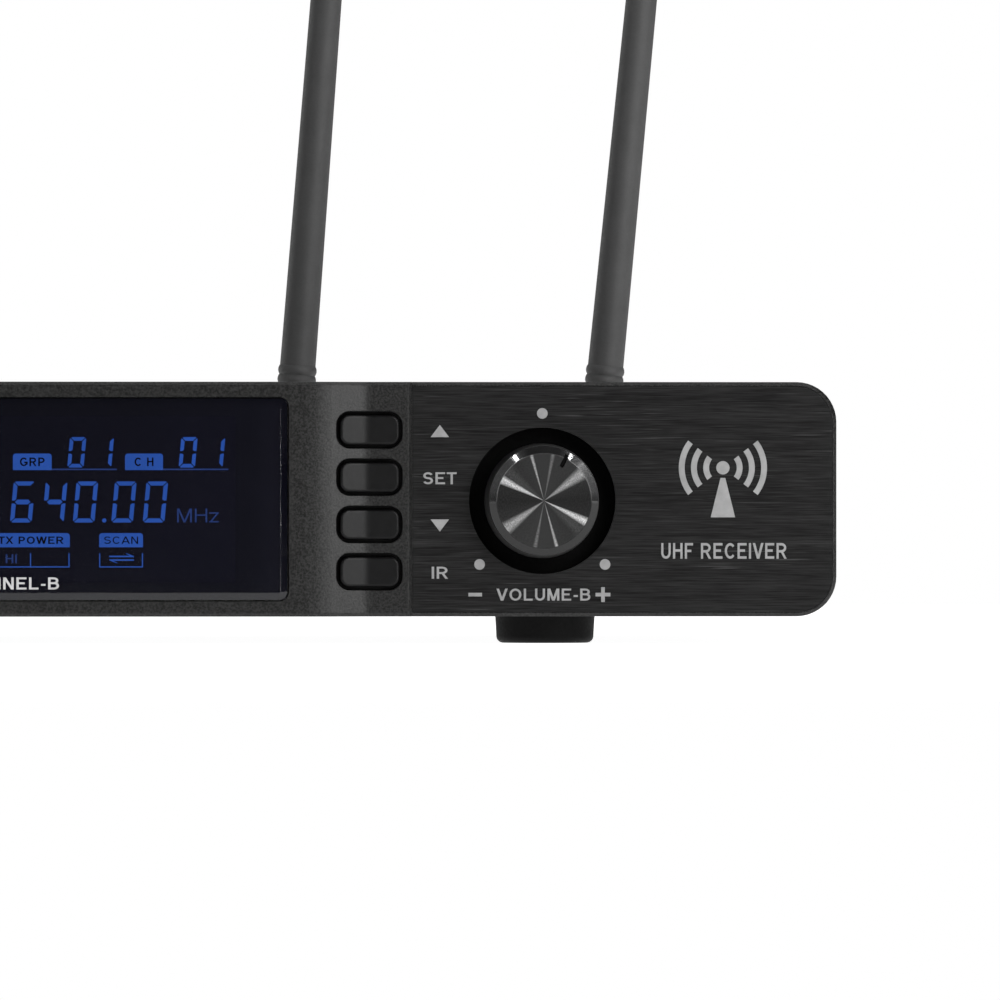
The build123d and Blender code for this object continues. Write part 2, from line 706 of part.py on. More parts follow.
def xlr_insert(u):
    """The socket's insulator and its three contact pins."""
    d = CASE_DEPTH
    disc = rod(u, 0, XLR_BORE_R - 0.05, d - 16, d - 13) + rod(u, 0, XLR_INNER_R - 0.05, d - 22, d - 16)
    pins = []
    for angle in (150, 30, -90):
        pin_u = u + XLR_PIN_CIRCLE * cos(radians(angle))
        pin_v = XLR_PIN_CIRCLE * sin(radians(angle))
        disc -= rod(pin_u, pin_v, XLR_PIN_R, d - 22, d - 13)
        pin = rod(pin_u, pin_v, XLR_PIN_R, d - 26, d)
        pins.append(fillet(pin.edges().sort_by(Axis.Y)[-1], 0.8))
    return [disc, *pins]


def mix_jack():
    """The quarter inch mixed output: body, threaded bushing and a blind bore."""
    d = CASE_DEPTH
    body = plate(Pos(JACK_U, 0) * RectangleRounded(16, 16, 1.5), d - 30, d - SHEET)
    sleeve = rod(JACK_U, 0, JACK_HOLE_R - 0.1, d - SHEET, d + 5.0)
    return body + sleeve - rod(JACK_U, 0, JACK_BORE_R, d + 5.0 - JACK_BORE_LENGTH, d + 5.0)


def dc_inlet():
    """The low voltage inlet: round body with a socket, and its centre pin."""
    d = CASE_DEPTH
    body = plate(Pos(DC_U, 0) * RectangleRounded(11, 11, 1), d - 14, d - SHEET)
    body += rod(DC_U, 0, DC_HOLE_R - 0.1, d - SHEET, d) + rod(DC_U, 0, 5.4, d, d + 1.5)
    body -= rod(DC_U, 0, DC_BORE_R, d - 9, d + 1.5)
    body -= rod(DC_U, 0, DC_PIN_R, d - 14, d - 9)
    return [body, rod(DC_U, 0, DC_PIN_R, d - 15, d - 0.5)]


def level_switch():
    """The body of the microphone or line level switch, slotted for its slider."""
    d = CASE_DEPTH - SHEET
    body = plate(Pos(LEVEL_U, 0) * Rectangle(17, 8), d - 7, d)
    return body - plate(Pos(LEVEL_U, 0) * Rectangle(LEVEL_TRAVEL + 4.4, LEVEL_SLOT_H), d - 4, d)


def level_slider():
    """The slider, at the left end of its travel."""
    u = LEVEL_U - LEVEL_TRAVEL / 2
    d = CASE_DEPTH
    stem = plate(Pos(u, 0) * Rectangle(4.0, 3.6), d - SHEET - 3.8, d + 2.4)
    for i in (-1, 0, 1):
        stem -= plate(Pos(u + i * 1.2, 0) * Rectangle(0.4, 3.6), d + 1.9, d + 2.4)
    return stem


# ---------------------------------------------------------------- aerials, in a frame at the hinge
def at_hinge(u, lean, shape):
    """Puts a shape drawn upright at the hinge into place, leaning sideways."""
    return Pos(*place(u, PIVOT_DEPTH)) * Rot(0, lean, 0) * shape


def depth_tube(outer, inner, near, far):
    """A tube along Y, with near and far measured from the hinge."""
    ring = Cylinder(outer, far - near)
    if inner:
        ring -= Cylinder(inner, far - near)
    return Pos(0, (near + far) / 2, 0) * Rot(90, 0, 0) * ring


def aerial_elbow():
    """The swivelling plug, the snap ring that holds the coupler, and the fork for the whip."""
    end, shoulder, collar, neck = PLUG_STEPS
    body = depth_tube(PLUG_BORE_R + 0.7, PLUG_BORE_R, end, shoulder)
    body += depth_tube(PLUG_R, 0, shoulder, collar)
    body += depth_tube(SNAP_RING_R, 0, *SNAP_RING)
    body += depth_tube(COLLAR_R, 0, collar, neck)
    body += Pos(0, (neck - 0.5) / 2, 0) * Box(EAR_SPAN, 0.5 - neck, 2 * EAR_R)
    body += Rot(0, 90, 0) * Cylinder(EAR_R, EAR_SPAN)
    body -= Rot(0, 90, 0) * Cylinder(FORK_CUT_R, FORK_GAP)
    body -= Pos(0, 10.0 - (FORK_CUT_R + 10.0) / 2, 5.0) * Box(FORK_GAP, FORK_CUT_R + 10.0, 10.0)
    body -= Pos(0, 5.0, 0) * Box(FORK_GAP, 10.0, 2 * EAR_R + 1)
    return body - Rot(0, 90, 0) * Cylinder(PIN_R, 20)


def aerial_pin():
    """The hinge pin, pressed into the fork's two ears."""
    return Rot(0, 90, 0) * Cylinder(PIN_R, EAR_SPAN)


def aerial_whip():
    """The whip: hinge tongue, ferrule, flexible beads and a tapering sleeve with a round tip."""
    first = BEAD_TOP - (BEAD_COUNT - 0.5) * BEAD_PITCH
    end = first + BEAD_COUNT * BEAD_PITCH
    lines = [
        Line((0, FERRULE_LOW), (FERRULE_R, FERRULE_LOW)),
        Line((FERRULE_R, FERRULE_LOW), (FERRULE_R, FERRULE_TOP)),
        Line((FERRULE_R, FERRULE_TOP), (NECK_R, first)),
    ]
    for i in range(BEAD_COUNT):
        low = first + i * BEAD_PITCH
        crest = (BEAD_R, low + BEAD_PITCH / 2)
        lines.append(ThreePointArc((NECK_R, low), crest, (NECK_R, low + BEAD_PITCH)))
    dome = WHIP_LENGTH - TIP_R
    half = TIP_R * sin(radians(45))
    lines += [
        Line((NECK_R, end), (TIP_R, dome)),
        ThreePointArc((TIP_R, dome), (half, dome + half), (0, WHIP_LENGTH)),
        Line((0, WHIP_LENGTH), (0, FERRULE_LOW)),
    ]
    sleeve = revolve(Plane.XZ * make_face(Curve() + lines), Axis.Z)
    tongue = Rot(0, 90, 0) * Cylinder(FORK_CUT_R - 0.2, FORK_GAP - 0.4)
    tongue += Pos(0, 0, 4.0) * Box(FORK_GAP - 0.4, 6.8, 8.0)
    return sleeve + tongue - Rot(0, 90, 0) * Cylinder(PIN_R + 0.05, 20)


def aerial_coupler(u):
    """The knurled bayonet ring, free to turn over the socket's lugs."""
    near, far = CASE_DEPTH + 3.2, CASE_DEPTH + 16.9
    neck_r = KNURL_R - 0.6
    knurl = Circle(KNURL_R)
    for i in range(KNURL_COUNT):
        knurl -= Rot(0, 0, i * 360 / KNURL_COUNT) * Pos(KNURL_R + 0.15, 0) * Circle(0.42)
    ring = plate(knurl, near + 3.5, far - 1.2) + rod(0, 0, KNURL_R - 0.1, near, near + 3.0)
    ring += rod(0, 0, neck_r, near + 3.0, near + 3.5) + rod(0, 0, neck_r, far - 1.2, far)
    ring -= rod(0, 0, 5.75, near, CASE_DEPTH + 13.5)
    ring -= rod(0, 0, 4.9, CASE_DEPTH + 13.5, far)
    ring -= Pos(*place(0, LUG_DEPTH)) * Rot(0, 90, 0) * Cylinder(1.2, 20)
    return Pos(u, 0, 0) * ring


# ---------------------------------------------------------------- feet and screws
def rubber_foot(u, depth):
    """A round rubber foot, narrower at the table, with a recess for its screw."""
    foot = Cone(FOOT_R - 0.35, FOOT_R, CASE_LOW)
    foot = fillet(foot.edges().sort_by(Axis.Z)[0], 1.3)
    foot = Pos(0, 0, CASE_LOW / 2) * foot
    foot -= Pos(0, 0, FOOT_RECESS_H / 2) * Cylinder(FOOT_RECESS_R, FOOT_RECESS_H)
    foot -= Pos(0, 0, 3.0) * Cylinder(1.7, 6.0)
    return Pos(u, FRONT_Y + depth, 0) * foot


def case_screws():
    """Every screw that holds the case together, its feet and its sockets."""
    screws = []
    for side in (-1, 1):
        for depth in COVER_SCREW_DEPTHS:
            screws.append(screw(place(side * COVER_HALF, depth, COVER_SCREW_V), (side, 0, 0), 4.0))
        for u, depth in FOOT_PLACES:
            screws.append(screw((side * u, FRONT_Y + depth, FOOT_RECESS_H), (0, 0, -1), 7.0))
        for v in (-TAB_HOLE_V, TAB_HOLE_V):
            screws.append(screw(place(side * TAB_HOLE_U, CASE_DEPTH, v), (0, 1, 0), 5.0))
            screws.append(screw(place(side * TAB_HOLE_U, BEZEL_DEPTH + SHEET, v), (0, 1, 0), 8.0))
    for u in XLR_US:
        for s in (-1, 1):
            spot = place(u + s * XLR_SCREW[0], CASE_DEPTH + 1.6, s * XLR_SCREW[1])
            screws.append(screw(spot, (0, 1, 0), 6.0))
    return screws


# ---------------------------------------------------------------- write every node
def main():
    """Makes every piece and saves it under its name."""
    os.makedirs("parts", exist_ok=True)
    save("chassis_tray", chassis_tray())
    save("top_cover", top_cover())
    save("rear_panel", rear_panel())
    save("front_bezel", front_bezel())
    save("fascia_left", fascia(-1))
    save("fascia_right", fascia(1))
    save("knob_wells", *[knob_well(s * KNOB_U) for s in (-1, 1)])
    save("display_window", display_window())
    save("lcd_panel", lcd_panel())
    save("lcd_backlight", lcd_backlight())
    save("front_board", front_board())
    save("ir_emitters", *[ir_emitter(s * IR_U) for s in (-1, 1)])
    switches = [button_switch(s * BUTTON_U, v) for s in (-1, 1) for _, v in button_spots()]
    save("button_switches", *switches)
    for channel, side in (("a", -1), ("b", 1)):
        for name, v in button_spots():
            save(f"button_{channel}_{name}", button_cap(side, v))
        save(f"volume_knob_{channel}", volume_knob(side * KNOB_U))
        save(f"pot_shaft_{channel}", pot_shaft(side * KNOB_U))
    save("volume_pots", *[volume_pot(s * KNOB_U) for s in (-1, 1)])
    save("power_button", power_button())
    save("power_switch", power_switch())
    save("main_board", main_board())
    save("board_parts", *board_parts())
    save("tuner_shields", *[tuner_shield(s) for s in (-1, 1)])
    save("board_fixings", *board_fixings())
    save("ribbon_cable", ribbon_cable())
    save("antenna_leads", *[antenna_lead(u) for _, u, _ in ANTENNAS])
    save("bnc_sockets", *[bnc_socket(u) for _, u, _ in ANTENNAS])
    rear, nut = CASE_DEPTH, CASE_DEPTH + 2.4
    nuts = [hex_nut(s * KNOB_U, CONTROL_V, BUSHING_R + 0.02, 10.0, 1.4, WELL_FLOOR) for s in (-1, 1)]
    nuts += [hex_nut(u, 0, 6.32, 15.0, rear, nut) for _, u, _ in ANTENNAS]
    nuts.append(hex_nut(JACK_U, 0, 5.52, 14.0, rear, nut))
    save("panel_nuts", *nuts)
    save("xlr_shells", *[xlr_shell(u) for u in XLR_US])
    save("xlr_inserts", *[s for u in XLR_US for s in xlr_insert(u)])
    save("mix_jack", mix_jack())
    save("dc_inlet", *dc_inlet())
    save("level_switch", level_switch())
    save("level_slider", level_slider())
    save("rubber_feet", *[rubber_foot(s * u, d) for s in (-1, 1) for u, d in FOOT_PLACES])
    save("case_screws", *case_screws())
    elbow, pin, whip = aerial_elbow(), aerial_pin(), aerial_whip()
    for name, u, lean in ANTENNAS:
        save(f"coupler_{name}", aerial_coupler(u))
        save(f"elbow_{name}", at_hinge(u, lean, elbow))
        save(f"hinge_pin_{name}", at_hinge(u, lean, pin))
        save(f"whip_{name}", at_hinge(u, lean, whip))


main()
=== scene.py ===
"""Looks for a two-channel wireless receiver, one rack unit high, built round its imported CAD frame.

+X is to the right seen from the front, +Y to the back and +Z up, all in metres. On a flat face, (u, v) is
a place: u is its X and v is its Z.
"""

import json
from math import atan, cos, pi, radians, sin, tan

import bmesh
import bpy
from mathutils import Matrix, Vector
from mathutils.geometry import delaunay_2d_cdt

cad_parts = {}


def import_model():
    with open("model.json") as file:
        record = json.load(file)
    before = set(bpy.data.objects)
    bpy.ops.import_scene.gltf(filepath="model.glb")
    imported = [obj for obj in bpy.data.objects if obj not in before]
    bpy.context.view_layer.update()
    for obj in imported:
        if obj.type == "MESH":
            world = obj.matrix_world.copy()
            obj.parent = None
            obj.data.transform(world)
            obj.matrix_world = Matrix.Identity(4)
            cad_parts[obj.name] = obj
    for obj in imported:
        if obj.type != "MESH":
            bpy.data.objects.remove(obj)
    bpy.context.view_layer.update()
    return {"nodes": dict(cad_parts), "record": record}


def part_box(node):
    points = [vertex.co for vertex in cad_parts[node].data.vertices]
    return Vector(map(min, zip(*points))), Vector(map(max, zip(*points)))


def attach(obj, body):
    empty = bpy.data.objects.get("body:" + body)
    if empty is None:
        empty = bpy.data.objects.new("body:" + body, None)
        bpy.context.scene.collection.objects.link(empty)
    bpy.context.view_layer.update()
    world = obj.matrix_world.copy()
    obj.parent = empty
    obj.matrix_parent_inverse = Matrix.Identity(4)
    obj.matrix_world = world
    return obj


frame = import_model()

MM = 0.001


def middle(node):
    """The centre of a CAD node's box."""
    low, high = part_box(node)
    return (low + high) / 2


PLATE_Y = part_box("fascia_right")[0].y
MID_Z = middle("fascia_right").z
LENS_LOW, LENS_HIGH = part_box("display_window")
GLASS_LOW, GLASS_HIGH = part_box("lcd_panel")
REAR_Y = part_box("rear_panel")[1].y
KNOB = middle("volume_knob_b")
KNOB_FACE_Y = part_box("volume_knob_b")[0].y
KEYS = ("up", "set", "down", "ir")


# ---------------------------------------------------------------- node helpers
class Shader:
    """One procedural material: a Principled shader and short ways to add what drives it."""

    def __init__(self, name, colour, roughness, metallic=0.0, **sockets):
        self.material = bpy.data.materials.new(name)
        self.material.use_nodes = True
        self.tree = self.material.node_tree
        self.bsdf = self.tree.nodes["Principled BSDF"]
        self.set("Base Color", (*colour, 1.0))
        self.set("Roughness", roughness)
        self.set("Metallic", metallic)
        for socket, value in sockets.items():
            self.set(socket.replace("_", " "), value)
        self.height = None

    def set(self, socket, value):
        self.bsdf.inputs[socket].default_value = value

    def link(self, source, target):
        self.tree.links.new(source, target)

    def node(self, kind, **values):
        node = self.tree.nodes.new(kind)
        for key, value in values.items():
            setattr(node, key, value)
        return node

    def math(self, operation, a, b=None, c=None):
        node = self.node("ShaderNodeMath", operation=operation)
        for socket, value in zip(node.inputs, (a, b, c)):
            if value is None:
                continue
            if isinstance(value, (int, float)):
                socket.default_value = value
            else:
                self.link(value, socket)
        return node.outputs[0]

    def place(self, scale=(1, 1, 1), origin=(0, 0, 0)):
        """Object coordinates, moved to an origin and scaled."""
        shift = self.node("ShaderNodeVectorMath", operation="SUBTRACT")
        self.link(self.node("ShaderNodeTexCoord").outputs["Object"], shift.inputs[0])
        shift.inputs[1].default_value = origin
        stretch = self.node("ShaderNodeVectorMath", operation="MULTIPLY")
        self.link(shift.outputs[0], stretch.inputs[0])
        stretch.inputs[1].default_value = scale
        return stretch.outputs[0]

    def noise(self, per_metre, detail=2.0, rough=0.5, origin=(0, 0, 0)):
        """Noise whose grain is 1 / per_metre, which may differ along X, Y and Z."""
        scale = per_metre if isinstance(per_metre, tuple) else (per_metre,) * 3
        node = self.node("ShaderNodeTexNoise")
        self.link(self.place(scale, origin), node.inputs["Vector"])
        node.inputs["Scale"].default_value = 1.0
        node.inputs["Detail"].default_value = detail
        node.inputs["Roughness"].default_value = rough
        return node.outputs["Fac"]

    def spread(self, value, low, high, start=0.3, end=0.7):
        """value from start to end becomes low to high, and is held there."""
        node = self.node("ShaderNodeMapRange", clamp=True)
        self.link(value, node.inputs["Value"])
        for socket, number in (("From Min", start), ("From Max", end), ("To Min", low), ("To Max", high)):
            node.inputs[socket].default_value = number
        return node.outputs[0]

    def mix(self, factor, first, second):
        """A colour between two, which may be colours or other nodes' outputs."""
        node = self.node("ShaderNodeMix", data_type="RGBA")
        self.link(factor, node.inputs[0])
        for socket, value in zip((node.inputs[6], node.inputs[7]), (first, second)):
            if isinstance(value, tuple):
                socket.default_value = (*value, 1.0)
            else:
                self.link(value, socket)
        return node.outputs[2]

    def colour(self, source):
        self.link(source, self.bsdf.inputs["Base Color"])

    def roughness(self, source):
        self.link(source, self.bsdf.inputs["Roughness"])

    def bump(self, height, depth, strength=1.0):
        """Adds relief of a given depth in metres, on top of any there already."""
        node = self.node("ShaderNodeBump")
        node.inputs["Distance"].default_value = depth
        node.inputs["Strength"].default_value = strength
        self.link(height, node.inputs["Height"])
        if self.height:
            self.link(self.height, node.inputs["Normal"])
        self.height = node.outputs[0]
        self.link(self.height, self.bsdf.inputs["Normal"])

    def soft_edges(self, radius):
        """Edges shade as if rounded to a radius in metres."""
        node = self.node("ShaderNodeBevel", samples=4)
        node.inputs["Radius"].default_value = radius
        self.height = node.outputs[0]
        self.link(self.height, self.bsdf.inputs["Normal"])


def grey(value):
    """A neutral colour from an 8-bit display grey."""
    share = value / 255
    linear = share / 12.92 if share <= 0.04045 else ((share + 0.055) / 1.055) ** 2.4
    return (linear, linear, linear)


# ---------------------------------------------------------------- materials
def powder_coat():
    """Black powder coat: orange peel, with a fine sparkle of lighter grains."""
    m = Shader("powder_coat", (0.013, 0.013, 0.014), 0.72, Specular_IOR_Level=0.16)
    m.soft_edges(0.0003)
    grain = m.noise(1700, 3.0, 0.6)
    m.colour(m.mix(m.spread(grain, 0, 1), (0.009, 0.009, 0.010), (0.019, 0.019, 0.020)))
    m.roughness(m.spread(m.noise(900, 3.0), 0.68, 0.78))
    m.bump(grain, 0.00006)
    return m.material


def moulded_grain():
    """The bezel's dark grey plastic, with a fine spark-eroded grain."""
    m = Shader("moulded_grain", (0.011, 0.011, 0.011), 0.4, Specular_IOR_Level=0.25)
    m.soft_edges(0.00025)
    grain = m.noise(2500, 2.0, 0.6)
    m.colour(m.mix(m.spread(grain, 0, 1, 0.36, 0.64), (0.001, 0.001, 0.001), (0.019, 0.019, 0.0185)))
    m.roughness(m.spread(grain, 0.36, 0.44))
    m.bump(grain, 0.00004, 0.8)
    return m.material


def brushed_plate():
    """Black anodised aluminium with fine brush lines along X and patches of short bright scratches."""
    m = Shader("brushed_plate", grey(26), 0.38, 0.75, Anisotropic=0.4)
    fine = m.noise((130, 900, 4600), 3.0, 0.62)
    broad = m.noise((16, 400, 900), 2.0, 0.5)
    scratch = m.noise((85, 900, 3300), 1.5, 0.55, origin=(0.3, 0, 0.2))
    patch = m.spread(m.noise((30, 30, 110), 1.0), 0.15, 0.75, 0.45, 0.62)
    lines = m.math("ADD", m.math("MULTIPLY", fine, 0.75), m.math("MULTIPLY", broad, 0.25))
    base = m.mix(m.spread(lines, 0, 1, 0.36, 0.64), grey(6), grey(35))
    marks = m.math("MULTIPLY", m.spread(scratch, 0, 0.6, 0.62, 0.74), patch)
    m.colour(m.mix(marks, base, grey(85)))
    m.roughness(m.spread(lines, 0.34, 0.48))
    m.bump(lines, 0.000004, 0.6)
    return m.material


def key_plastic():
    """The keys' smooth dark plastic, with a faint satin mottle."""
    m = Shader("key_plastic", (0.0028, 0.0028, 0.0029), 0.38, Specular_IOR_Level=0.16)
    m.soft_edges(0.0003)
    mottle = m.noise(500, 3.0)
    m.colour(m.mix(m.spread(mottle, 0, 1), (0.0018, 0.0018, 0.0019), (0.0036, 0.0036, 0.0038)))
    m.roughness(m.spread(m.noise(2600, 2.0), 0.35, 0.43))
    m.bump(mottle, 0.00002, 0.4)
    return m.material


def plain_plastic(name, level=0.008, roughness=0.35, gloss=0.5):
    """Plain moulded plastic of one grey level."""
    m = Shader(name, (level,) * 3, roughness, Specular_IOR_Level=gloss)
    m.soft_edges(0.0002)
    mottle = m.noise(400, 3.0)
    m.colour(m.mix(m.spread(mottle, 0, 1), (level * 0.8,) * 3, (level * 1.25,) * 3))
    m.roughness(m.spread(m.noise(1500, 2.0), roughness - 0.06, roughness + 0.08))
    m.bump(mottle, 0.00002, 0.4)
    return m.material


def rubber(name, level, roughness=0.62, gloss=0.4):
    """Matte rubber with a faint talc bloom."""
    m = Shader(name, (level,) * 3, roughness, Specular_IOR_Level=gloss)
    bloom = m.noise(220, 4.0, 0.6)
    m.colour(m.mix(m.spread(bloom, 0, 1), (level * 0.92,) * 3, (level * 1.08,) * 3))
    m.roughness(m.spread(m.noise(1800, 2.0), roughness - 0.06, roughness + 0.08))
    m.bump(m.noise(2400, 2.0), 0.00003, 0.5)
    return m.material


def plated(name, colour, roughness):
    """Bright plated metal with faint stains and polishing marks."""
    m = Shader(name, colour, roughness, 1.0)
    m.soft_edges(0.0002)
    dark = tuple(c * 0.88 for c in colour)
    m.colour(m.mix(m.spread(m.noise(180, 4.0, 0.6), 0, 1), dark, colour))
    m.roughness(m.spread(m.noise(240, 3.0), roughness - 0.03, roughness + 0.06))
    m.bump(m.noise(700, 2.0), 0.000003, 0.3)
    return m.material


def circuit_board():
    """Green solder mask over copper tracks."""
    m = Shader("circuit_board", (0.01, 0.09, 0.04), 0.35)
    tracks = m.node("ShaderNodeTexBrick", offset=0.3)
    m.link(m.place((90, 90, 90)), tracks.inputs["Vector"])
    tracks.inputs["Scale"].default_value = 1.0
    tracks.inputs["Mortar Size"].default_value = 0.03
    tracks.inputs["Color1"].default_value = (0.008, 0.07, 0.03, 1)
    tracks.inputs["Color2"].default_value = (0.01, 0.09, 0.04, 1)
    tracks.inputs["Mortar"].default_value = (0.03, 0.16, 0.06, 1)
    m.colour(tracks.outputs["Color"])
    m.roughness(m.spread(m.noise(300, 3.0), 0.28, 0.45))
    m.bump(tracks.outputs["Fac"], 0.00004)
    return m.material


def smoked_lens():
    """Smoked acrylic: see-through and tinted, with a polished skin and softened edges."""
    m = Shader("smoked_lens", (0.01, 0.01, 0.012), 0.05)
    m.soft_edges(0.00015)
    clear = m.node("ShaderNodeBsdfTransparent")
    clear.inputs["Color"].default_value = (0.62, 0.62, 0.66, 1)
    skin = m.node("ShaderNodeBsdfGlossy")
    skin.inputs["Color"].default_value = (1, 1, 1, 1)
    m.link(m.spread(m.noise(35, 4.0, 0.6), 0.03, 0.05), skin.inputs["Roughness"])
    share = m.node("ShaderNodeFresnel")
    share.inputs["IOR"].default_value = 1.44
    for part in (skin, share):
        m.link(m.height, part.inputs["Normal"])
    both = m.node("ShaderNodeMixShader")
    m.link(share.outputs[0], both.inputs[0])
    m.link(clear.outputs[0], both.inputs[1])
    m.link(skin.outputs[0], both.inputs[2])
    m.link(both.outputs[0], m.tree.nodes["Material Output"].inputs["Surface"])
    return m.material


def display_glass(name, share=1.0):
    """Dark display glass, with a faint blue haze from the light behind it."""
    m = Shader(name, (0.003, 0.003, 0.006), 0.4, Specular_IOR_Level=0.3 * share)
    haze = m.spread(m.noise(28, 3.0, 0.5), 0, 1)
    m.colour(m.mix(haze, (0.002, 0.0022, 0.004), (0.004, 0.0045, 0.008)))
    lit = m.mix(haze, (0.004, 0.004, 0.011), (0.0075, 0.0075, 0.017))
    m.link(lit, m.bsdf.inputs["Emission Color"])
    m.set("Emission Strength", share)
    return m.material


def glow(name, colour, strength):
    """A lit display segment, slightly uneven like a real backlight."""
    m = Shader(name, (0.01, 0.01, 0.02), 0.4)
    uneven = m.spread(m.noise(60, 2.0), 0, 1)
    dim = tuple(c * 0.8 for c in colour)
    m.link(m.mix(uneven, dim, colour), m.bsdf.inputs["Emission Color"])
    m.set("Emission Strength", strength)
    return m.material


def ink(name, level):
    """Screen printed ink, slightly mottled."""
    m = Shader(name, grey(level), 0.5)
    mottle = m.noise(700, 3.0)
    m.colour(m.mix(m.spread(mottle, 0, 1), grey(level * 0.94), grey(level * 1.04)))
    m.bump(mottle, 0.00001, 0.4)
    return m.material


def radial(m, centre):
    """A point's distance from the Y line through centre, its angle in half turns, and the way outwards."""
    split, out = m.node("ShaderNodeSeparateXYZ"), m.node("ShaderNodeCombineXYZ")
    m.link(m.place(origin=tuple(centre)), split.inputs[0])
    x, z = split.outputs["X"], split.outputs["Z"]
    m.link(x, out.inputs["X"])
    m.link(z, out.inputs["Z"])
    squares = m.math("ADD", m.math("MULTIPLY", x, x), m.math("MULTIPLY", z, z))
    return m.math("SQRT", squares), m.math("DIVIDE", m.math("ARCTAN2", z, x), pi), out.outputs[0]


FACE_R = 8.85 * MM
LIP_R = 9.9 * MM
FLANK_R = 10.25 * MM
RINGS_PER_METRE = 5200
RINGS_PER_HALF_TURN = 60
# Painted highlights for the fans of light across the face: angle and width in degrees, and strength.
PAINTED_GLINTS = ((36, 9.5, 0.43), (153.5, 6.3, 1.0), (105.5, 2.6, 0.55), (79, 3.2, 0.17), (142, 12, 0.05))
# The directions of the two painted highlight spots on the lip round the face, in degrees.
PAINTED_LIP_HIGHLIGHTS = (58.5, 123.5)


def spun_metal(name, centre):
    """A turned aluminium face: fine rings, painted highlight fans where such rings would throw light,
    painted shade across the face, and painted light, shade and spots on the lip.
    """
    m = Shader(name, grey(60), 0.3, 0.9, Anisotropic=0.5)
    distance, turn, outwards = radial(m, centre)
    m.link(outwards, m.bsdf.inputs["Tangent"])
    rings = m.node("ShaderNodeTexNoise")
    joined = m.node("ShaderNodeCombineXYZ")
    m.link(m.math("MULTIPLY", distance, RINGS_PER_METRE), joined.inputs[0])
    m.link(m.math("MULTIPLY", turn, RINGS_PER_HALF_TURN), joined.inputs[1])
    m.link(joined.outputs[0], rings.inputs["Vector"])
    rings.inputs["Scale"].default_value = 1.0
    rings.inputs["Detail"].default_value = 2.0

    def to_nearest(value):
        """How far a value is from the nearest whole number."""
        return m.math("ABSOLUTE", m.math("SUBTRACT", value, m.math("ROUND", value)))

    def off_line(angle):
        """How far a point is turned from a line across the face, in half turns."""
        return to_nearest(m.math("SUBTRACT", turn, angle / 180))

    def off_ray(angle):
        """How far a point is turned from one direction, in half turns."""
        away = m.math("DIVIDE", m.math("SUBTRACT", turn, angle / 180), 2)
        return m.math("MULTIPLY", to_nearest(away), 2)

    # Painted highlights: bright fans of light along the listed angles, speckled by the rings and fainter
    # near the middle.
    painted_fans = None
    for angle, width, share in PAINTED_GLINTS:
        one = m.math("MULTIPLY", m.spread(off_line(angle), 1, 0, width * 0.25 / 180, width / 180), share)
        painted_fans = one if painted_fans is None else m.math("ADD", painted_fans, one)
    inside = m.spread(distance, 1, 0, FACE_R - 0.1 * MM, FACE_R + 0.1 * MM)
    speckled = m.math("MULTIPLY", painted_fans, m.spread(rings.outputs["Fac"], 0.35, 1.2, 0.3, 0.7))
    grown = m.math("MULTIPLY", speckled, m.spread(distance, 0.75, 1.0, 0.5 * MM, 5 * MM))
    # Painted shade: the face is darker to its left and right, along a nearly level line through its middle,
    # and lighter towards its top and bottom.
    across = m.math("ADD", off_line(2), m.math("MULTIPLY", rings.outputs["Fac"], 0.7))
    face = m.mix(m.spread(across, 0, 1, 0.26, 0.78), grey(34), grey(62))
    # Painted light and shade on the lip: its upper half lighter, with a darker crown at its very top, and
    # its lower half dark.
    painted_lit_upper_half = m.spread(off_ray(90), 1, 0, 0.44, 0.52)
    painted_dark_crown = m.spread(off_ray(90), 1, 0, 0.1, 0.2)
    rim = m.mix(painted_lit_upper_half, grey(55), m.mix(painted_dark_crown, grey(142), grey(82)))
    # Painted highlights: two small bright spots on the lip.
    painted_lip_spots = None
    for angle in PAINTED_LIP_HIGHLIGHTS:
        one = m.spread(off_ray(angle), 1, 0, 1.5 / 180, 2.1 / 180)
        painted_lip_spots = one if painted_lip_spots is None else m.math("ADD", painted_lip_spots, one)
    on_lip = m.spread(distance, 0, 1, FACE_R + 0.2 * MM, FACE_R + 0.3 * MM)
    on_lip = m.math("MULTIPLY", on_lip, m.spread(distance, 1, 0, LIP_R - 0.05 * MM, LIP_R + 0.05 * MM))
    rim = m.mix(m.math("MULTIPLY", painted_lip_spots, on_lip), rim, grey(245))
    flank = m.spread(distance, 0, 1, FLANK_R - 0.03 * MM, FLANK_R + 0.05 * MM)
    rim = m.mix(flank, rim, grey(63))
    surface = m.mix(inside, rim, face)
    # The painted highlight fans go onto the face as near white.
    m.colour(m.mix(m.math("MULTIPLY", grown, inside), surface, grey(245)))
    lip = m.spread(distance, 0.3, 0.13, FACE_R, FACE_R + 0.2 * MM)
    m.roughness(m.math("ADD", lip, m.math("MULTIPLY", flank, 0.4)))
    m.bump(rings.outputs["Fac"], 0.000002, 0.6)
    return m.material


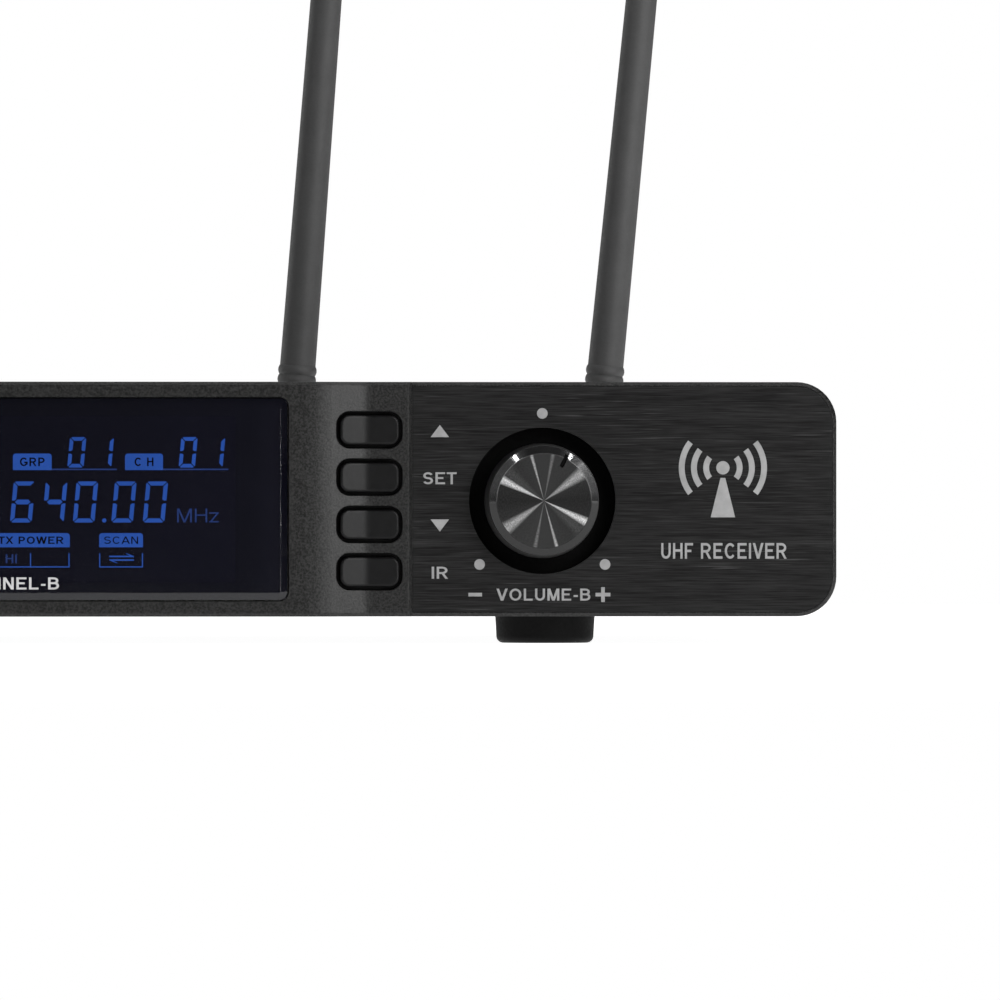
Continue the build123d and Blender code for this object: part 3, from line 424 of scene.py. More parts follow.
def all_materials():
    """Every CAD node's material, by the record's slot. A turned part gets its own, round its own middle."""
    return {
        "case_paint": powder_coat(),
        "bezel_plastic": moulded_grain(),
        "brushed_plate": brushed_plate(),
        # The wells' black plastic, made near black and nearly without sheen so that it also stands in for
        # the painted shade deep in the wells.
        "black_gloss_plastic": plain_plastic("well_black_and_painted_shade", 0.0008, 0.7, 0.04),
        "smoked_lens": smoked_lens(),
        "lcd_glass": display_glass("display_glass"),
        "white_plastic": plain_plastic("light_box_white", 0.7, 0.5),
        "circuit_board": circuit_board(),
        "ir_resin": plain_plastic("infrared_resin", 0.006, 0.12),
        "switch_plastic": plain_plastic("part_black", 0.02, 0.45),
        "zinc_metal": plated("zinc_plate", (0.5, 0.5, 0.49), 0.35),
        "tinned_steel": plated("tinned_steel", (0.62, 0.62, 0.6), 0.3),
        "ribbon_grey": rubber("ribbon_grey", 0.3, 0.5),
        "lead_jacket": rubber("lead_jacket", 0.01, 0.5),
        "nickel": plated("nickel_plate", (0.66, 0.64, 0.6), 0.26),
        "black_plastic": plain_plastic("black_moulding"),
        "button_plastic": key_plastic(),
        "spun_aluminium": None,
        "whip_rubber": rubber("whip_rubber", 0.06),
        "foot_rubber": rubber("foot_rubber", 0.003, 0.6, 0.13),
        "black_screw": plated("black_zinc", (0.05, 0.05, 0.052), 0.35),
    }


def dress_frame():
    """Gives every CAD node the material of its slot."""
    looks = all_materials()
    slots = {part["node"]: part["material_slot"] for part in frame["record"]["subparts"]}
    for name, obj in frame["nodes"].items():
        look = looks[slots[name]] or spun_metal("spun_" + name, middle(name))
        obj.data.materials.clear()
        obj.data.materials.append(look)


# ---------------------------------------------------------------- flat prints
def arc(u, v, radius, start, end, steps):
    """Points on an arc, with angles in degrees, anticlockwise from the right."""
    turns = [radians(start + (end - start) * i / steps) for i in range(steps + 1)]
    return [(u + radius * cos(a), v + radius * sin(a)) for a in turns]


def disc(u, v, radius, corners=48):
    """A round outline."""
    return arc(u, v, radius, 0, 360 * (corners - 1) / corners, corners - 1)


def box(u0, u1, v0, v1, top=0.0):
    """A rectangle, with its top corners rounded to a radius where one is given."""
    if not top:
        return [(u1, v1), (u0, v1), (u0, v0), (u1, v0)]
    right = arc(u1 - top, v1 - top, top, 0, 90, 6)
    left = arc(u0 + top, v1 - top, top, 90, 180, 6)
    return right + left + [(u0, v0), (u1, v0)]


def band(u, v, inner, outer, start, end):
    """The two sides of a stretch of a ring."""
    return arc(u, v, outer, start, end, 24), arc(u, v, inner, start, end, 24)


# Each letter: its width and its strokes, in cap heights. Strokes are centre lines in a unit square that
# spans the letter between the middles of its outer strokes: "|" x, low, high; "-" left, right, y;
# "/" x, y, x, y; "o" centre, radii, start and end angle.
LETTERS = {
    " ": (0.28, ()),
    "-": (0.34, (("-", 0, 1, 0.36),)),
    "A": (1.01, (("/", 0, 0, 0.5, 1), ("/", 1, 0, 0.5, 1), ("-", 0.2, 0.8, 0.25))),
    "B": (0.83, (("|", 0, 0, 1), ("-", 0, 0.5, 1), ("-", 0, 0.55, 0.53), ("-", 0, 0.55, 0),
                 ("o", 0.5, 0.765, 0.43, 0.235, -90, 90), ("o", 0.55, 0.265, 0.45, 0.265, -90, 90))),
    "C": (0.89, (("o", 0.52, 0.5, 0.52, 0.5, 40, 320),)),
    "D": (0.84, (("|", 0, 0, 1), ("-", 0, 0.42, 1), ("-", 0, 0.42, 0),
                 ("o", 0.42, 0.5, 0.58, 0.5, -90, 90))),
    "E": (0.77, (("|", 0, 0, 1), ("-", 0, 1, 1), ("-", 0, 0.93, 0.52), ("-", 0, 1, 0))),
    "F": (0.7, (("|", 0, 0, 1), ("-", 0, 1, 1), ("-", 0, 0.9, 0.5))),
    "G": (0.95, (("o", 0.5, 0.5, 0.5, 0.5, 40, 325), ("-", 0.56, 1, 0.42), ("|", 1, 0.12, 0.42))),
    "H": (0.81, (("|", 0, 0, 1), ("|", 1, 0, 1), ("-", 0, 1, 0.53))),
    "I": (0.2, (("|", 0, 0, 1),)),
    "L": (0.72, (("|", 0, 0, 1), ("-", 0, 1, 0))),
    "M": (0.97, (("|", 0, 0, 1), ("|", 1, 0, 1), ("/", 0.5, 0, 0.03, 1), ("/", 0.5, 0, 0.97, 1))),
    "N": (0.81, (("|", 0, 0, 1), ("|", 1, 0, 1), ("/", 1, 0, 0, 1))),
    "O": (0.97, (("o", 0.5, 0.5, 0.5, 0.5, 0, 360),)),
    "P": (0.78, (("|", 0, 0, 1), ("-", 0, 0.5, 1), ("-", 0, 0.5, 0.44),
                 ("o", 0.5, 0.72, 0.5, 0.28, -90, 90))),
    "R": (0.87, (("|", 0, 0, 1), ("-", 0, 0.48, 1), ("-", 0, 0.48, 0.47), ("/", 1, 0, 0.5, 0.47),
                 ("o", 0.48, 0.735, 0.46, 0.265, -90, 90))),
    "S": (0.8, (("o", 0.5, 0.755, 0.47, 0.245, 20, 270), ("o", 0.5, 0.255, 0.5, 0.255, -160, 90))),
    "T": (0.79, (("-", 0, 1, 1), ("|", 0.5, 0, 1))),
    "U": (0.81, (("|", 0, 0.36, 1), ("|", 1, 0.36, 1), ("o", 0.5, 0.36, 0.5, 0.36, 180, 360))),
    "V": (0.93, (("/", 0.5, 0, 0, 1), ("/", 0.5, 0, 1, 1))),
    "W": (1.31, (("/", 0.25, 0, 0, 1), ("/", 0.25, 0, 0.5, 1),
                 ("/", 0.75, 0, 0.5, 1), ("/", 0.75, 0, 1, 1))),
    "X": (0.93, (("/", 0, 0, 1, 1), ("/", 1, 0, 0, 1))),
    "z": (0.62, (("-", 0, 1, 0.7), ("-", 0, 1, 0), ("/", 0, 0, 1, 0.7))),
    "1": (0.4, (("|", 1, 0, 1), ("/", 0, 0.7, 1, 1))),
    "2": (0.74, (("o", 0.5, 0.72, 0.48, 0.28, -35, 165), ("/", 0.03, 0, 0.9, 0.56), ("-", 0, 1, 0))),
}
# The space between letters, and how much less of it an open-sided letter needs, in cap heights.
LETTER_GAP = 0.2
OPEN_LETTERS = "AVWXTz"
OPEN_GAP = 0.06
# The width of an upright stroke, and a level stroke's share of it.
BOLD, LIGHT = 0.185, 0.11
LEVEL_SHARE = 0.85


def stroke_sides(stroke, width, weight):
    """The two long sides of one stroke, as points in cap heights."""
    flat = weight * LEVEL_SHARE

    def x_of(x, thick=weight):
        return thick / 2 + x * (width - thick)

    def y_of(y):
        return flat / 2 + y * (1 - flat)

    def reach(low, high, thick):
        """How far a bar runs past its two ends, where they lie on the letter's edge."""
        return (-thick / 2 if low == 0 else 0), (thick / 2 if high == 1 else 0)

    kind, values = stroke[0], stroke[1:]
    if kind == "|":
        x, low, high = values
        under, over = reach(low, high, flat)
        ends = (y_of(low) + under, y_of(high) + over)
        return [(x_of(x) - weight / 2, y) for y in ends], [(x_of(x) + weight / 2, y) for y in ends]
    if kind == "-":
        left, right, y = values
        before, after = reach(left, right, weight)
        ends = (x_of(left) + before, x_of(right) + after)
        return [(x, y_of(y) - flat / 2) for x in ends], [(x, y_of(y) + flat / 2) for x in ends]
    if kind == "/":
        slant = weight * 1.12
        ends = []
        for x, y in (values[:2], values[2:]):
            ends.append((x_of(x, slant), y if y in (0, 1) else y_of(y)))
        return [(x - slant / 2, y) for x, y in ends], [(x + slant / 2, y) for x, y in ends]
    centre_x, centre_y, radius_x, radius_y, start, end = values
    middle_x, middle_y = x_of(centre_x), y_of(centre_y)
    across, up = radius_x * (width - weight), radius_y * (1 - flat)
    steps = max(4, int(abs(end - start) / 12))
    sides = []
    for sign in (1, -1):
        turns = [radians(start + (end - start) * i / steps) for i in range(steps + 1)]
        reach_x, reach_y = across + sign * weight / 2, up + sign * flat / 2
        sides.append([(middle_x + reach_x * cos(a), middle_y + reach_y * sin(a)) for a in turns])
    return sides


class Print:
    """Ink or lit segments on a flat face: outlines that are merged into one thin closed mesh."""

    def __init__(self, face_y, thickness, outward=-1):
        self.outlines = []
        self.front = face_y + outward * thickness
        self.back = face_y - outward * thickness * 0.2
        self.side = -outward

    def shape(self, outline):
        """A filled outline of (u, v) points."""
        points = [Vector(point) / MM for point in outline]
        area = sum(a.cross(b) for a, b in zip(points, points[1:] + points[:1]))
        self.outlines.append(points if area > 0 else points[::-1])

    def strip(self, first, second):
        """A filled strip between two lines of (u, v) points."""
        for i in range(len(first) - 1):
            self.shape([first[i], first[i + 1], second[i + 1], second[i]])

    def text(self, words, u, v, width, height, weight=BOLD):
        """Lettering centred on (u, v) and fitted to a width and a height. weight is its strokes' width."""
        places, run, before = [], 0.0, None
        for letter in words:
            if before:
                run += LETTER_GAP - OPEN_GAP * ((before in OPEN_LETTERS) + (letter in OPEN_LETTERS))
            across = weight if letter == "I" else LETTERS[letter][0]
            places.append((letter, run, across))
            run += across
            before = letter
        stretch = width / run
        for letter, start, across in places:
            for stroke in LETTERS[letter][1]:
                lines = stroke_sides(stroke, across, weight)
                for line in lines:
                    for i, (x, y) in enumerate(line):
                        place = self.side * ((start + x) * stretch - width / 2)
                        line[i] = (u + place, v + (y - 0.5) * height)
                self.strip(*lines)

    def finish(self, name, material, body="case"):
        """Makes the piece and lets it ride."""
        corners = [corner for outline in self.outlines for corner in outline]
        faces, used = [], 0
        for outline in self.outlines:
            faces.append(list(range(used, used + len(outline))))
            used += len(outline)
        flat, _, cells, _, _, sources = delaunay_2d_cdt(corners, [], faces, 1, 1e-5)
        cells = [cell for cell, source in zip(cells, sources) if source]
        solid = bmesh.new()
        front = [solid.verts.new((p.x * MM, self.front, p.y * MM)) for p in flat]
        back = [solid.verts.new((p.x * MM, self.back, p.y * MM)) for p in flat]
        sides = {}
        for cell in cells:
            solid.faces.new([front[i] for i in cell])
            solid.faces.new([back[i] for i in reversed(cell)])
            for i, j in zip(cell, cell[1:] + cell[:1]):
                if (j, i) in sides:
                    del sides[(j, i)]
                else:
                    sides[(i, j)] = True
        for i, j in sides:
            solid.faces.new((front[j], front[i], back[i], back[j]))
        loose = [vert for vert in solid.verts if not vert.link_faces]
        bmesh.ops.delete(solid, geom=loose, context="VERTS")
        bmesh.ops.recalc_face_normals(solid, faces=solid.faces)
        mesh = bpy.data.meshes.new(name)
        solid.to_mesh(mesh)
        solid.free()
        mesh.materials.append(material)
        piece = bpy.data.objects.new(name, mesh)
        bpy.context.scene.collection.objects.link(piece)
        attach(piece, body)


# ---------------------------------------------------------------- lettering on the side plates
PLATE_INK_T = 0.04 * MM
PLATE_INK = 133
CAP = 2.25 * MM
LABEL_STEP = 13.3 * MM
LABEL_DROP = 0.2 * MM
LABEL_W = {"set": 6.3 * MM, "ir": 3.05 * MM}
ARROW_HALF = 1.73 * MM
ARROW_RISE = 1.14 * MM

DIAL_TOP_R = 16.3 * MM
DIAL_END_R = 16.85 * MM
DIAL_DOT_R = 1.0 * MM
DIAL_LIFT = 0.1 * MM
DIAL_END = 135.6
VOLUME_SHIFT = 0.2 * MM
VOLUME_DROP = 17.6 * MM
VOLUME_W = 17.66 * MM
MINUS_STEP = 12.6 * MM
PLUS_STEP = 11.4 * MM
MINUS_HALF = 1.27 * MM
PLUS_HALF = 1.39 * MM
SIGN_HALF_T = 0.34 * MM

POWER_DROP = 9.6 * MM
POWER_W = 9.4 * MM
POWER_CAP = 1.8 * MM
POWER_SIGN_LIFT = 10.4 * MM
POWER_SIGN_R = (1.25 * MM, 1.6 * MM)
POWER_SIGN_ENDS = (122, 418)
POWER_BAR_HALF = 0.18 * MM
POWER_BAR_H = 2.0 * MM

POINTER_ANGLE = 27
POINTER_HALF = 0.38 * MM
POINTER_DEPTH = 0.75 * MM
POINTER_FILL = 0.6
POINTER_REACH = (7.15 * MM, 9.7 * MM)


def triangle(u, v, up):
    """A filled arrow head."""
    rise = ARROW_RISE if up else -ARROW_RISE
    return [(u - ARROW_HALF, v - rise), (u + ARROW_HALF, v - rise), (u, v + rise)]


def print_keys(sheet, side, channel):
    """The arrow or the word beside each key."""
    for key in KEYS:
        place = middle(f"button_{channel}_{key}")
        u, v = place.x + side * LABEL_STEP, place.z - LABEL_DROP
        if key in LABEL_W:
            sheet.text(key.upper(), u, v, LABEL_W[key], CAP)
        else:
            sheet.shape(triangle(u, v, key == "up"))


def print_dial(sheet, channel):
    """The dots round a knob, and its name between a minus and a plus."""
    knob = middle(f"volume_knob_{channel}")
    for angle, radius in ((0, DIAL_TOP_R), (DIAL_END, DIAL_END_R), (-DIAL_END, DIAL_END_R)):
        turned = radians(angle)
        u, v = knob.x + radius * sin(turned), knob.z + DIAL_LIFT + radius * cos(turned)
        sheet.shape(disc(u, v, DIAL_DOT_R))
    low = knob.z - VOLUME_DROP
    sheet.text(f"VOLUME-{channel.upper()}", knob.x + VOLUME_SHIFT, low, VOLUME_W, CAP)
    minus, plus, half = knob.x - MINUS_STEP, knob.x + PLUS_STEP, SIGN_HALF_T
    sheet.shape(box(minus - MINUS_HALF, minus + MINUS_HALF, low - half, low + half))
    sheet.shape(box(plus - PLUS_HALF, plus + PLUS_HALF, low - half, low + half))
    sheet.shape(box(plus - half, plus + half, low + half, low + PLUS_HALF))
    sheet.shape(box(plus - half, plus + half, low - PLUS_HALF, low - half))


def print_power(sheet):
    """The word under the power button and the sign over it."""
    power = middle("power_button")
    sheet.text("POWER", power.x, power.z - POWER_DROP, POWER_W, POWER_CAP)
    low = power.z + POWER_SIGN_LIFT
    sheet.strip(*band(power.x, low, *POWER_SIGN_R, *POWER_SIGN_ENDS))
    sheet.shape(box(power.x - POWER_BAR_HALF, power.x + POWER_BAR_HALF, low, low + POWER_BAR_H))


def print_side(side, channel):
    """Everything printed on one side plate, apart from the symbol."""
    sheet = Print(PLATE_Y, PLATE_INK_T)
    print_keys(sheet, side, channel)
    print_dial(sheet, channel)
    if side < 0:
        print_power(sheet)
    sheet.finish(f"plate_labels_{channel}", ink(f"silver_ink_{channel}", PLATE_INK))


def fill_pointer(channel):
    """The black paint in a knob's milled pointer."""
    knob = middle(f"volume_knob_{channel}")
    turned = radians(POINTER_ANGLE)
    along, across = Vector((sin(turned), cos(turned))), Vector((cos(turned), -sin(turned)))
    paint = Print(KNOB_FACE_Y + POINTER_DEPTH, POINTER_DEPTH * POINTER_FILL)
    lines = []
    for side in (-1, 1):
        edge = across * side * POINTER_HALF
        lines.append([Vector((knob.x, knob.z)) + along * r + edge for r in POINTER_REACH])
    paint.strip(*lines)
    paint.finish(f"knob_pointer_{channel}", POINTER_PAINT, f"volume_{channel}")


SYMBOL_STEP = 33.95 * MM
SYMBOL_LIFT = 3.9 * MM
HUB_LIFT = 2.0 * MM
HUB_R = 1.25 * MM
WAVE_INNER_R = (2.6 * MM, 4.9 * MM, 7.2 * MM)
WAVE_T = 1.1 * MM
WAVE_HALF_ANGLE = 38
MAST_GAP = 1.9 * MM
MAST_DROP = 7.3 * MM
MAST_TOP_HALF = 0.45 * MM
MAST_FOOT_HALF = 2.3 * MM
NAME_SHIFT = 0.2 * MM
NAME_DROP = 9.7 * MM
NAME_W = 23.6 * MM
NAME_CAP = 2.95 * MM


def print_symbol():
    """A plain aerial symbol and the words under it, at the right of the right plate."""
    mark = Print(PLATE_Y, PLATE_INK_T)
    u, v = KNOB.x + SYMBOL_STEP, MID_Z + SYMBOL_LIFT
    hub = v + HUB_LIFT
    mark.shape(disc(u, hub, HUB_R))
    for inner in WAVE_INNER_R:
        for facing in (0, 180):
            ends = (facing - WAVE_HALF_ANGLE, facing + WAVE_HALF_ANGLE)
            mark.strip(*band(u, hub, inner, inner + WAVE_T, *ends))
    top, foot = hub - MAST_GAP, v - MAST_DROP
    left = [(u - MAST_TOP_HALF, top), (u - MAST_FOOT_HALF, foot)]
    right = [(u + MAST_FOOT_HALF, foot), (u + MAST_TOP_HALF, top)]
    mark.shape(left + right)
    mark.text("UHF RECEIVER", u + NAME_SHIFT, MID_Z - NAME_DROP, NAME_W, NAME_CAP)
    mark.finish("aerial_symbol", ink("silver_ink_symbol", PLATE_INK))


# ---------------------------------------------------------------- display graphics
SEGMENTS = {"0": "abcdef", "1": "bc", "4": "bcfg", "6": "acdefg"}
SLANT = tan(radians(5.3))
CORNER_CUT = 0.45
CHANNEL_STEP = 53.45 * MM

LIT_T = 0.05 * MM
LETTER_T = 0.03 * MM
TAG_CORNER = 0.55 * MM
TAG_TEXT_H = 0.52

# Sizes and places on one channel's half of the display, in mm. Places are from its middle.
SMALL_W, SMALL_H, SMALL_STROKE = 3.06, 5.7, 0.81
BIG_W, BIG_H, BIG_STROKE = 4.06, 7.7, 0.9
SEGMENT_GAP = 0.12
TOP_ROW, SMALL_ROW, BIG_ROW = 5.45, 5.93, -4.37
TAG_H = 3.1
RULE_T = 0.28
POINT_U, POINT_V, POINT_R = 18.95, -3.98, 0.4
FUNCTION_LOW, FUNCTION_TOP = -9.0, -6.35
FRAME_FOOT, FRAME_LOW, FRAME_TOP, FRAME_T = -12.78, -12.58, -10.12, 0.2
ARROW_U, ARROW_ROWS = 22.2, ((-10.86, 1), (-11.25, -1))
METER_LEFT, METER_RIGHT = -37.8, -4.0
METER_BARS, METER_LIT, METER_STEP, METER_BAR_W = 9, 6, 3.5, 2.3


def segment_outlines(width, height, thick, gap):
    """The seven segments of an upright digit, mitred at its corners, which are cut off."""
    cut = thick * CORNER_CUT
    near, far = (cut - gap) / 2, (cut + gap) / 2
    half, middle_v = thick / 2, height / 2
    end, top_v = middle_v + thick * 0.3, height - thick
    top = [(cut, height), (far, height - near), (thick, top_v + gap)]
    top += [(width - u, v) for u, v in reversed(top)]
    left = [(0, end), (half, end), (thick - gap, end + half / 2)]
    left += [(thick - gap, top_v), (near, height - far), (0, height - cut)]
    bar = [(half + gap, middle_v), (thick + gap, middle_v - half), (width - thick - gap, middle_v - half)]
    bar += [(width - u, height - v) for u, v in bar]
    right = [(width - u, v) for u, v in left]
    low, low_left, low_right = ([(u, height - v) for u, v in part] for part in (top, left, right))
    return {"a": top, "b": right, "c": low_right, "d": low, "e": low_left, "f": left, "g": bar}


class Half:
    """One channel's half of the display. Its methods take sizes and places in mm, from its middle."""

    def __init__(self, centre):
        self.centre = centre
        self.lit = Print(GLASS_LOW.y, LIT_T)
        self.faint = Print(GLASS_LOW.y, LIT_T)
        self.dark = Print(GLASS_LOW.y - LIT_T, LETTER_T)

    def at(self, u, v):
        return self.centre + u * MM, MID_Z + v * MM

    def bar(self, u0, u1, v0, v1, sheet=None):
        """A lit rectangle, or one on another sheet."""
        (left, low), (right, high) = self.at(u0, v0), self.at(u1, v1)
        (sheet or self.lit).shape(box(left, right, low, high))

    def tag(self, words, u0, u1, v0, v1, fill, weight=BOLD):
        """A lit tag with dark lettering on it. fill is the lettering's share of its width."""
        (left, low), (right, high) = self.at(u0, v0), self.at(u1, v1)
        self.lit.shape(box(left, right, low, high, TAG_CORNER))
        u, v, across = (left + right) / 2, (low + high) / 2, (right - left) * fill
        self.dark.text(words, u, v, across, (high - low) * TAG_TEXT_H, weight)

    def digit(self, figure, u, v, width, height, thick):
        """One slanted seven-segment figure with its lower left corner at (u, v)."""
        left, low = self.at(u, v)
        outlines = segment_outlines(width * MM, height * MM, thick * MM, SEGMENT_GAP * MM)
        for name in SEGMENTS[figure]:
            self.lit.shape([(left + across + up * SLANT, low + up) for across, up in outlines[name]])

    def group_and_channel(self):
        """The two small numbers in the top row, each with its tag and its rule."""
        numbers = (("GRP", 1.85, 9.1, 21.3, 0.64), ("C H", 22.85, 29.95, 42.2, 0.5))
        for words, left, right, end, fill in numbers:
            self.tag(words, left, right, TOP_ROW, TOP_ROW + TAG_H, fill, 0.2)
            self.bar(right, end, TOP_ROW, TOP_ROW + RULE_T, self.faint)
            for figure, shift in (("0", 2.92), ("1", 8.1)):
                self.digit(figure, right + shift, SMALL_ROW, SMALL_W, SMALL_H, SMALL_STROKE)

    def frequency(self):
        """The large number and its unit."""
        for figure, left in (("6", 1.3), ("4", 7.3), ("0", 13.05), ("0", 20.25), ("0", 26.15)):
            self.digit(figure, left, BIG_ROW, BIG_W, BIG_H, BIG_STROKE)
        self.lit.shape(disc(*self.at(POINT_U, POINT_V), POINT_R * MM))
        self.faint.text("MHz", *self.at(36.5, -3.05), 7.8 * MM, 2.58 * MM, LIGHT)

    def functions(self):
        """The two tagged frames under the large number."""
        self.tag("TX POWER", -2.05, 12.5, FUNCTION_LOW, FUNCTION_TOP, 0.84, 0.2)
        self.tag("SCAN", 18.0, 26.2, FUNCTION_LOW, FUNCTION_TOP, 0.78, 0.15)
        for left, right in ((-2.05, 12.45), (18.0, 26.2)):
            self.bar(left, right, FRAME_FOOT, FRAME_LOW)
            self.bar(left, left + FRAME_T, FRAME_LOW, FRAME_TOP)
            self.bar(right - FRAME_T, right, FRAME_LOW, FRAME_TOP)
        self.bar(5.05, 5.05 + FRAME_T, FRAME_LOW, FRAME_TOP)
        self.faint.text("HI", *self.at(1.55, -11.15), 2.1 * MM, 1.65 * MM, 0.18)
        for v, flip in ARROW_ROWS:
            arrow = [(-2.3, 0), (2.3, 0), (2.3, 0.2), (1.0, 0.72), (0.7, 0.72), (1.55, 0.28), (-2.3, 0.28)]
            self.lit.shape([self.at(ARROW_U + flip * x, v + flip * y) for x, y in arrow])

    def meters(self):
        """The radio and sound level meters, and the signs of the two aerials under them."""
        for row, words in ((TOP_ROW, "RF"), (BIG_ROW, "AF")):
            self.tag(words, -43.0, METER_LEFT, row, row + TAG_H, 0.6)
            self.bar(METER_LEFT, METER_RIGHT, row, row + RULE_T, self.faint)
            for i in range(METER_BARS):
                left = -36.0 + i * METER_STEP
                sheet = self.lit if i < METER_LIT else self.faint
                self.bar(left, left + METER_BAR_W, row + 1.0, row + 1.6 + i * 0.5, sheet)
        for left, letter in ((-43.0, "A"), (-37.0, "B")):
            self.tag(letter, left, left + 4.6, -12.8, -9.4, 0.36)

    def finish(self, channel):
        self.lit.finish(f"display_segments_{channel}", DISPLAY_LIT)
        self.faint.finish(f"display_faint_segments_{channel}", DISPLAY_FAINT)
        self.dark.finish(f"display_dark_letters_{channel}", DISPLAY_DARK)


CHANNEL_SHIFT = 0.05 * MM
CHANNEL_DROP = 15.75 * MM
CHANNEL_W = 20.7 * MM
CHANNEL_CAP = 2.26 * MM


def channel_display(centre, channel):
    """Everything lit in one channel's half of the display, and its name on the lens."""
    half = Half(centre)
    half.group_and_channel()
    half.frequency()
    half.functions()
    half.meters()
    half.finish(channel)
    name = Print(LENS_LOW.y, LETTER_T)
    words = f"CHANNEL-{channel.upper()}"
    name.text(words, centre + CHANNEL_SHIFT, MID_Z - CHANNEL_DROP, CHANNEL_W, CHANNEL_CAP)
    name.finish(f"channel_name_{channel}", WHITE_INK)


LCD_MARGIN = 1.0 * MM
LENS_MARGIN = 0.12 * MM
MASK_DEPTH = 0.05 * MM


def window_mask():
    """The black print just inside the lens's back, all round the display, given a faint painted glow like
    the display glass.
    """
    mask = Print(LENS_HIGH.y - MASK_DEPTH, LETTER_T)
    left, right = LENS_LOW.x + LENS_MARGIN, LENS_HIGH.x - LENS_MARGIN
    foot, top = LENS_LOW.z + LENS_MARGIN, LENS_HIGH.z - LENS_MARGIN
    inner_left, inner_right = GLASS_LOW.x + LCD_MARGIN, GLASS_HIGH.x - LCD_MARGIN
    inner_foot, inner_top = GLASS_LOW.z + LCD_MARGIN, GLASS_HIGH.z - LCD_MARGIN
    mask.shape(box(left, right, foot, inner_foot))
    mask.shape(box(left, right, inner_top, top))
    mask.shape(box(left, inner_left, inner_foot, inner_top))
    mask.shape(box(inner_right, right, inner_foot, inner_top))
    # The print gets a painted glow: the display glass's faint haze, at a little under half strength.
    mask.finish("window_mask", display_glass("window_print_painted_glow", 0.45))


# ---------------------------------------------------------------- rear lettering
REAR_CAP = 1.8 * MM
REAR_LETTER_W = 1.6 * MM
SOCKET_LIFT = 14.0 * MM
SOCKET_W = 9.0 * MM
# Each word on the rear, and its place in mm from the middle of the unit.
REAR_WORDS = (
    ("OUTPUT A", -62.0, 18.2), ("OUTPUT B", -24.0, 18.2), ("MIX OUT", 14.0, 12.5), ("DC IN 12V", 74.0, 12.5),
    ("LEVEL", 42.0, 12.5), ("MIC", 37.0, -7.2), ("LINE", 47.5, -7.2),
)
SOCKETS = (("left_outer", "A 1"), ("left_inner", "A 2"), ("right_inner", "B 1"), ("right_outer", "B 2"))


def print_rear():
    """Plain words beside the rear connectors."""
    back = Print(REAR_Y, PLATE_INK_T, outward=1)
    for words, u, v in REAR_WORDS:
        back.text(words, u * MM, MID_Z + v * MM, len(words) * REAR_LETTER_W, REAR_CAP)
    for name, label in SOCKETS:
        back.text(f"ANT {label}", middle(f"coupler_{name}").x, MID_Z + SOCKET_LIFT, SOCKET_W, REAR_CAP)
    back.finish("rear_labels", ink("rear_ink", 165))


# ---------------------------------------------------------------- room, lights and camera
ROOM = (0.05, 0.05, 0.052, 1)
FLOOR_HALF = 0.95


# Each soft light: its direction round the view, anticlockwise from the right, and how far it stands from
# straight in front, both in degrees; its distance and its two sides in metres; and its power in watts.
SOFTBOXES = {
    "right_wall": (12, 46, 0.8, (0.3, 0.6), 4.8),
    "key_right": (36, 52, 0.8, (0.45, 0.3), 2.5),
    "fill_left": (153.5, 48, 1.7, (0.35, 0.7), 2),
    "small_right": (55, 69, 1.5, (0.08, 0.08), 0.7),
    "small_left": (119, 69, 1.5, (0.08, 0.08), 0.7),
    "ceiling": (90, 104, 1.2, (1.6, 0.2), 5.5),
    "back_top": (90, 128, 1.6, (1.4, 0.9), 5),
    "back_left": (165, 130, 1.6, (0.7, 0.7), 4),
}


def softbox(name, polar, off_axis, distance, size, power):
    """A soft light aimed at the front, which the camera doesn't see itself."""
    light = bpy.data.lights.new(name, "AREA")
    light.shape = "RECTANGLE"
    light.size, light.size_y = size
    light.energy = power
    lamp = bpy.data.objects.new(name, light)
    target = Vector((KNOB.x * 0.6, PLATE_Y, MID_Z))
    p, o = radians(polar), radians(off_axis)
    away = Vector((cos(p) * sin(o), -cos(o), sin(p) * sin(o)))
    lamp.location = target + away * distance
    lamp.rotation_euler = (-away).to_track_quat("-Z", "Y").to_euler()
    lamp.visible_camera = False
    bpy.context.scene.collection.objects.link(lamp)


def world():
    """White behind the object for the camera, and a dim room for everything else."""
    scene = bpy.context.scene
    scene.world = bpy.data.worlds.new("studio")
    scene.world.use_nodes = True
    tree = scene.world.node_tree
    tree.nodes.clear()
    seen, room = tree.nodes.new("ShaderNodeBackground"), tree.nodes.new("ShaderNodeBackground")
    seen.inputs["Color"].default_value = (1, 1, 1, 1)
    room.inputs["Color"].default_value = ROOM
    path, mix = tree.nodes.new("ShaderNodeLightPath"), tree.nodes.new("ShaderNodeMixShader")
    out = tree.nodes.new("ShaderNodeOutputWorld")
    tree.links.new(path.outputs["Is Camera Ray"], mix.inputs[0])
    tree.links.new(room.outputs[0], mix.inputs[1])
    tree.links.new(seen.outputs[0], mix.inputs[2])
    tree.links.new(mix.outputs[0], out.inputs[0])


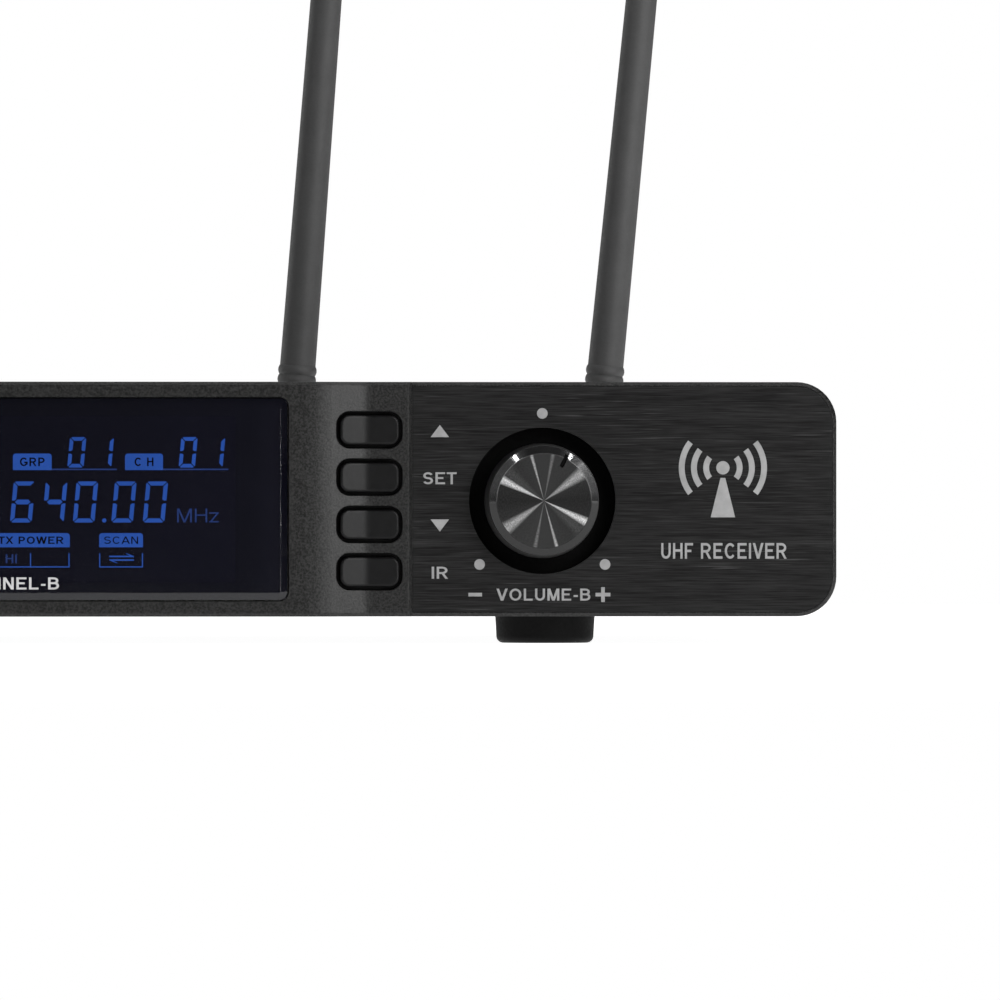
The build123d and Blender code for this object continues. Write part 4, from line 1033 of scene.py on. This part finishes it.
def floor():
    """A plain pale sheet under the object, with painted shade that makes it a little dimmer close to it."""
    m = Shader("pale_floor", (0.5, 0.5, 0.5), 0.8, Emission_Strength=1.0)
    away = m.node("ShaderNodeVectorMath", operation="LENGTH")
    m.link(m.place(), away.inputs[0])
    # Painted shade: the sheet's glow is a little weaker close to the object.
    m.link(m.spread(away.outputs["Value"], 0.97, 1.0, 0.25, 0.8), m.bsdf.inputs["Emission Color"])
    mesh = bpy.data.meshes.new("floor")
    half = FLOOR_HALF
    corners = [(-half, -half, 0), (half, -half, 0), (half, half, 0), (-half, half, 0)]
    mesh.from_pydata(corners, [], [(0, 1, 2, 3)])
    mesh.materials.append(m.material)
    sheet = bpy.data.objects.new("floor", mesh)
    bpy.context.scene.collection.objects.link(sheet)


VIEW_DISTANCE = 2.97
VIEW_ASIDE = 146.7 * MM
PIXELS_PER_METRE = 5330.0
IMAGE_SIDE = 1000
SENSOR = 36.0
VIEW_DROP = 0.8


def camera():
    """A long lens level with the panel, in front of its middle and turned to the right half."""
    turn = atan(VIEW_ASIDE / VIEW_DISTANCE)
    data = bpy.data.cameras.new("view")
    data.sensor_width = SENSOR
    data.lens = PIXELS_PER_METRE * VIEW_DISTANCE / cos(turn) * SENSOR / IMAGE_SIDE
    data.clip_start, data.clip_end = 0.1, 50
    eye = bpy.data.objects.new("view", data)
    eye.location = (0, PLATE_Y - VIEW_DISTANCE, MID_Z)
    eye.rotation_euler = (pi / 2 - VIEW_DROP / (PIXELS_PER_METRE * VIEW_DISTANCE), 0, -turn)
    bpy.context.scene.collection.objects.link(eye)
    bpy.context.scene.camera = eye


# ---------------------------------------------------------------- the whole picture
DISPLAY_LIT = glow("display_blue", (0.045, 0.19, 0.8), 1.1)
DISPLAY_FAINT = glow("display_faint_blue", (0.045, 0.11, 0.4), 0.9)
DISPLAY_DARK = plain_plastic("display_dark", 0.003, 0.5, 0.2)
POINTER_PAINT = plain_plastic("pointer_paint", 0.0012, 0.6, 0.05)
WHITE_INK = ink("white_ink", 184)

camera()
bpy.context.scene.view_settings.view_transform = "Standard"
world()
floor()
for name, values in SOFTBOXES.items():
    softbox(name, *values)
dress_frame()
for side, channel in ((-1, "a"), (1, "b")):
    print_side(side, channel)
    fill_pointer(channel)
    channel_display(side * CHANNEL_STEP, channel)
window_mask()
print_symbol()
print_rear()
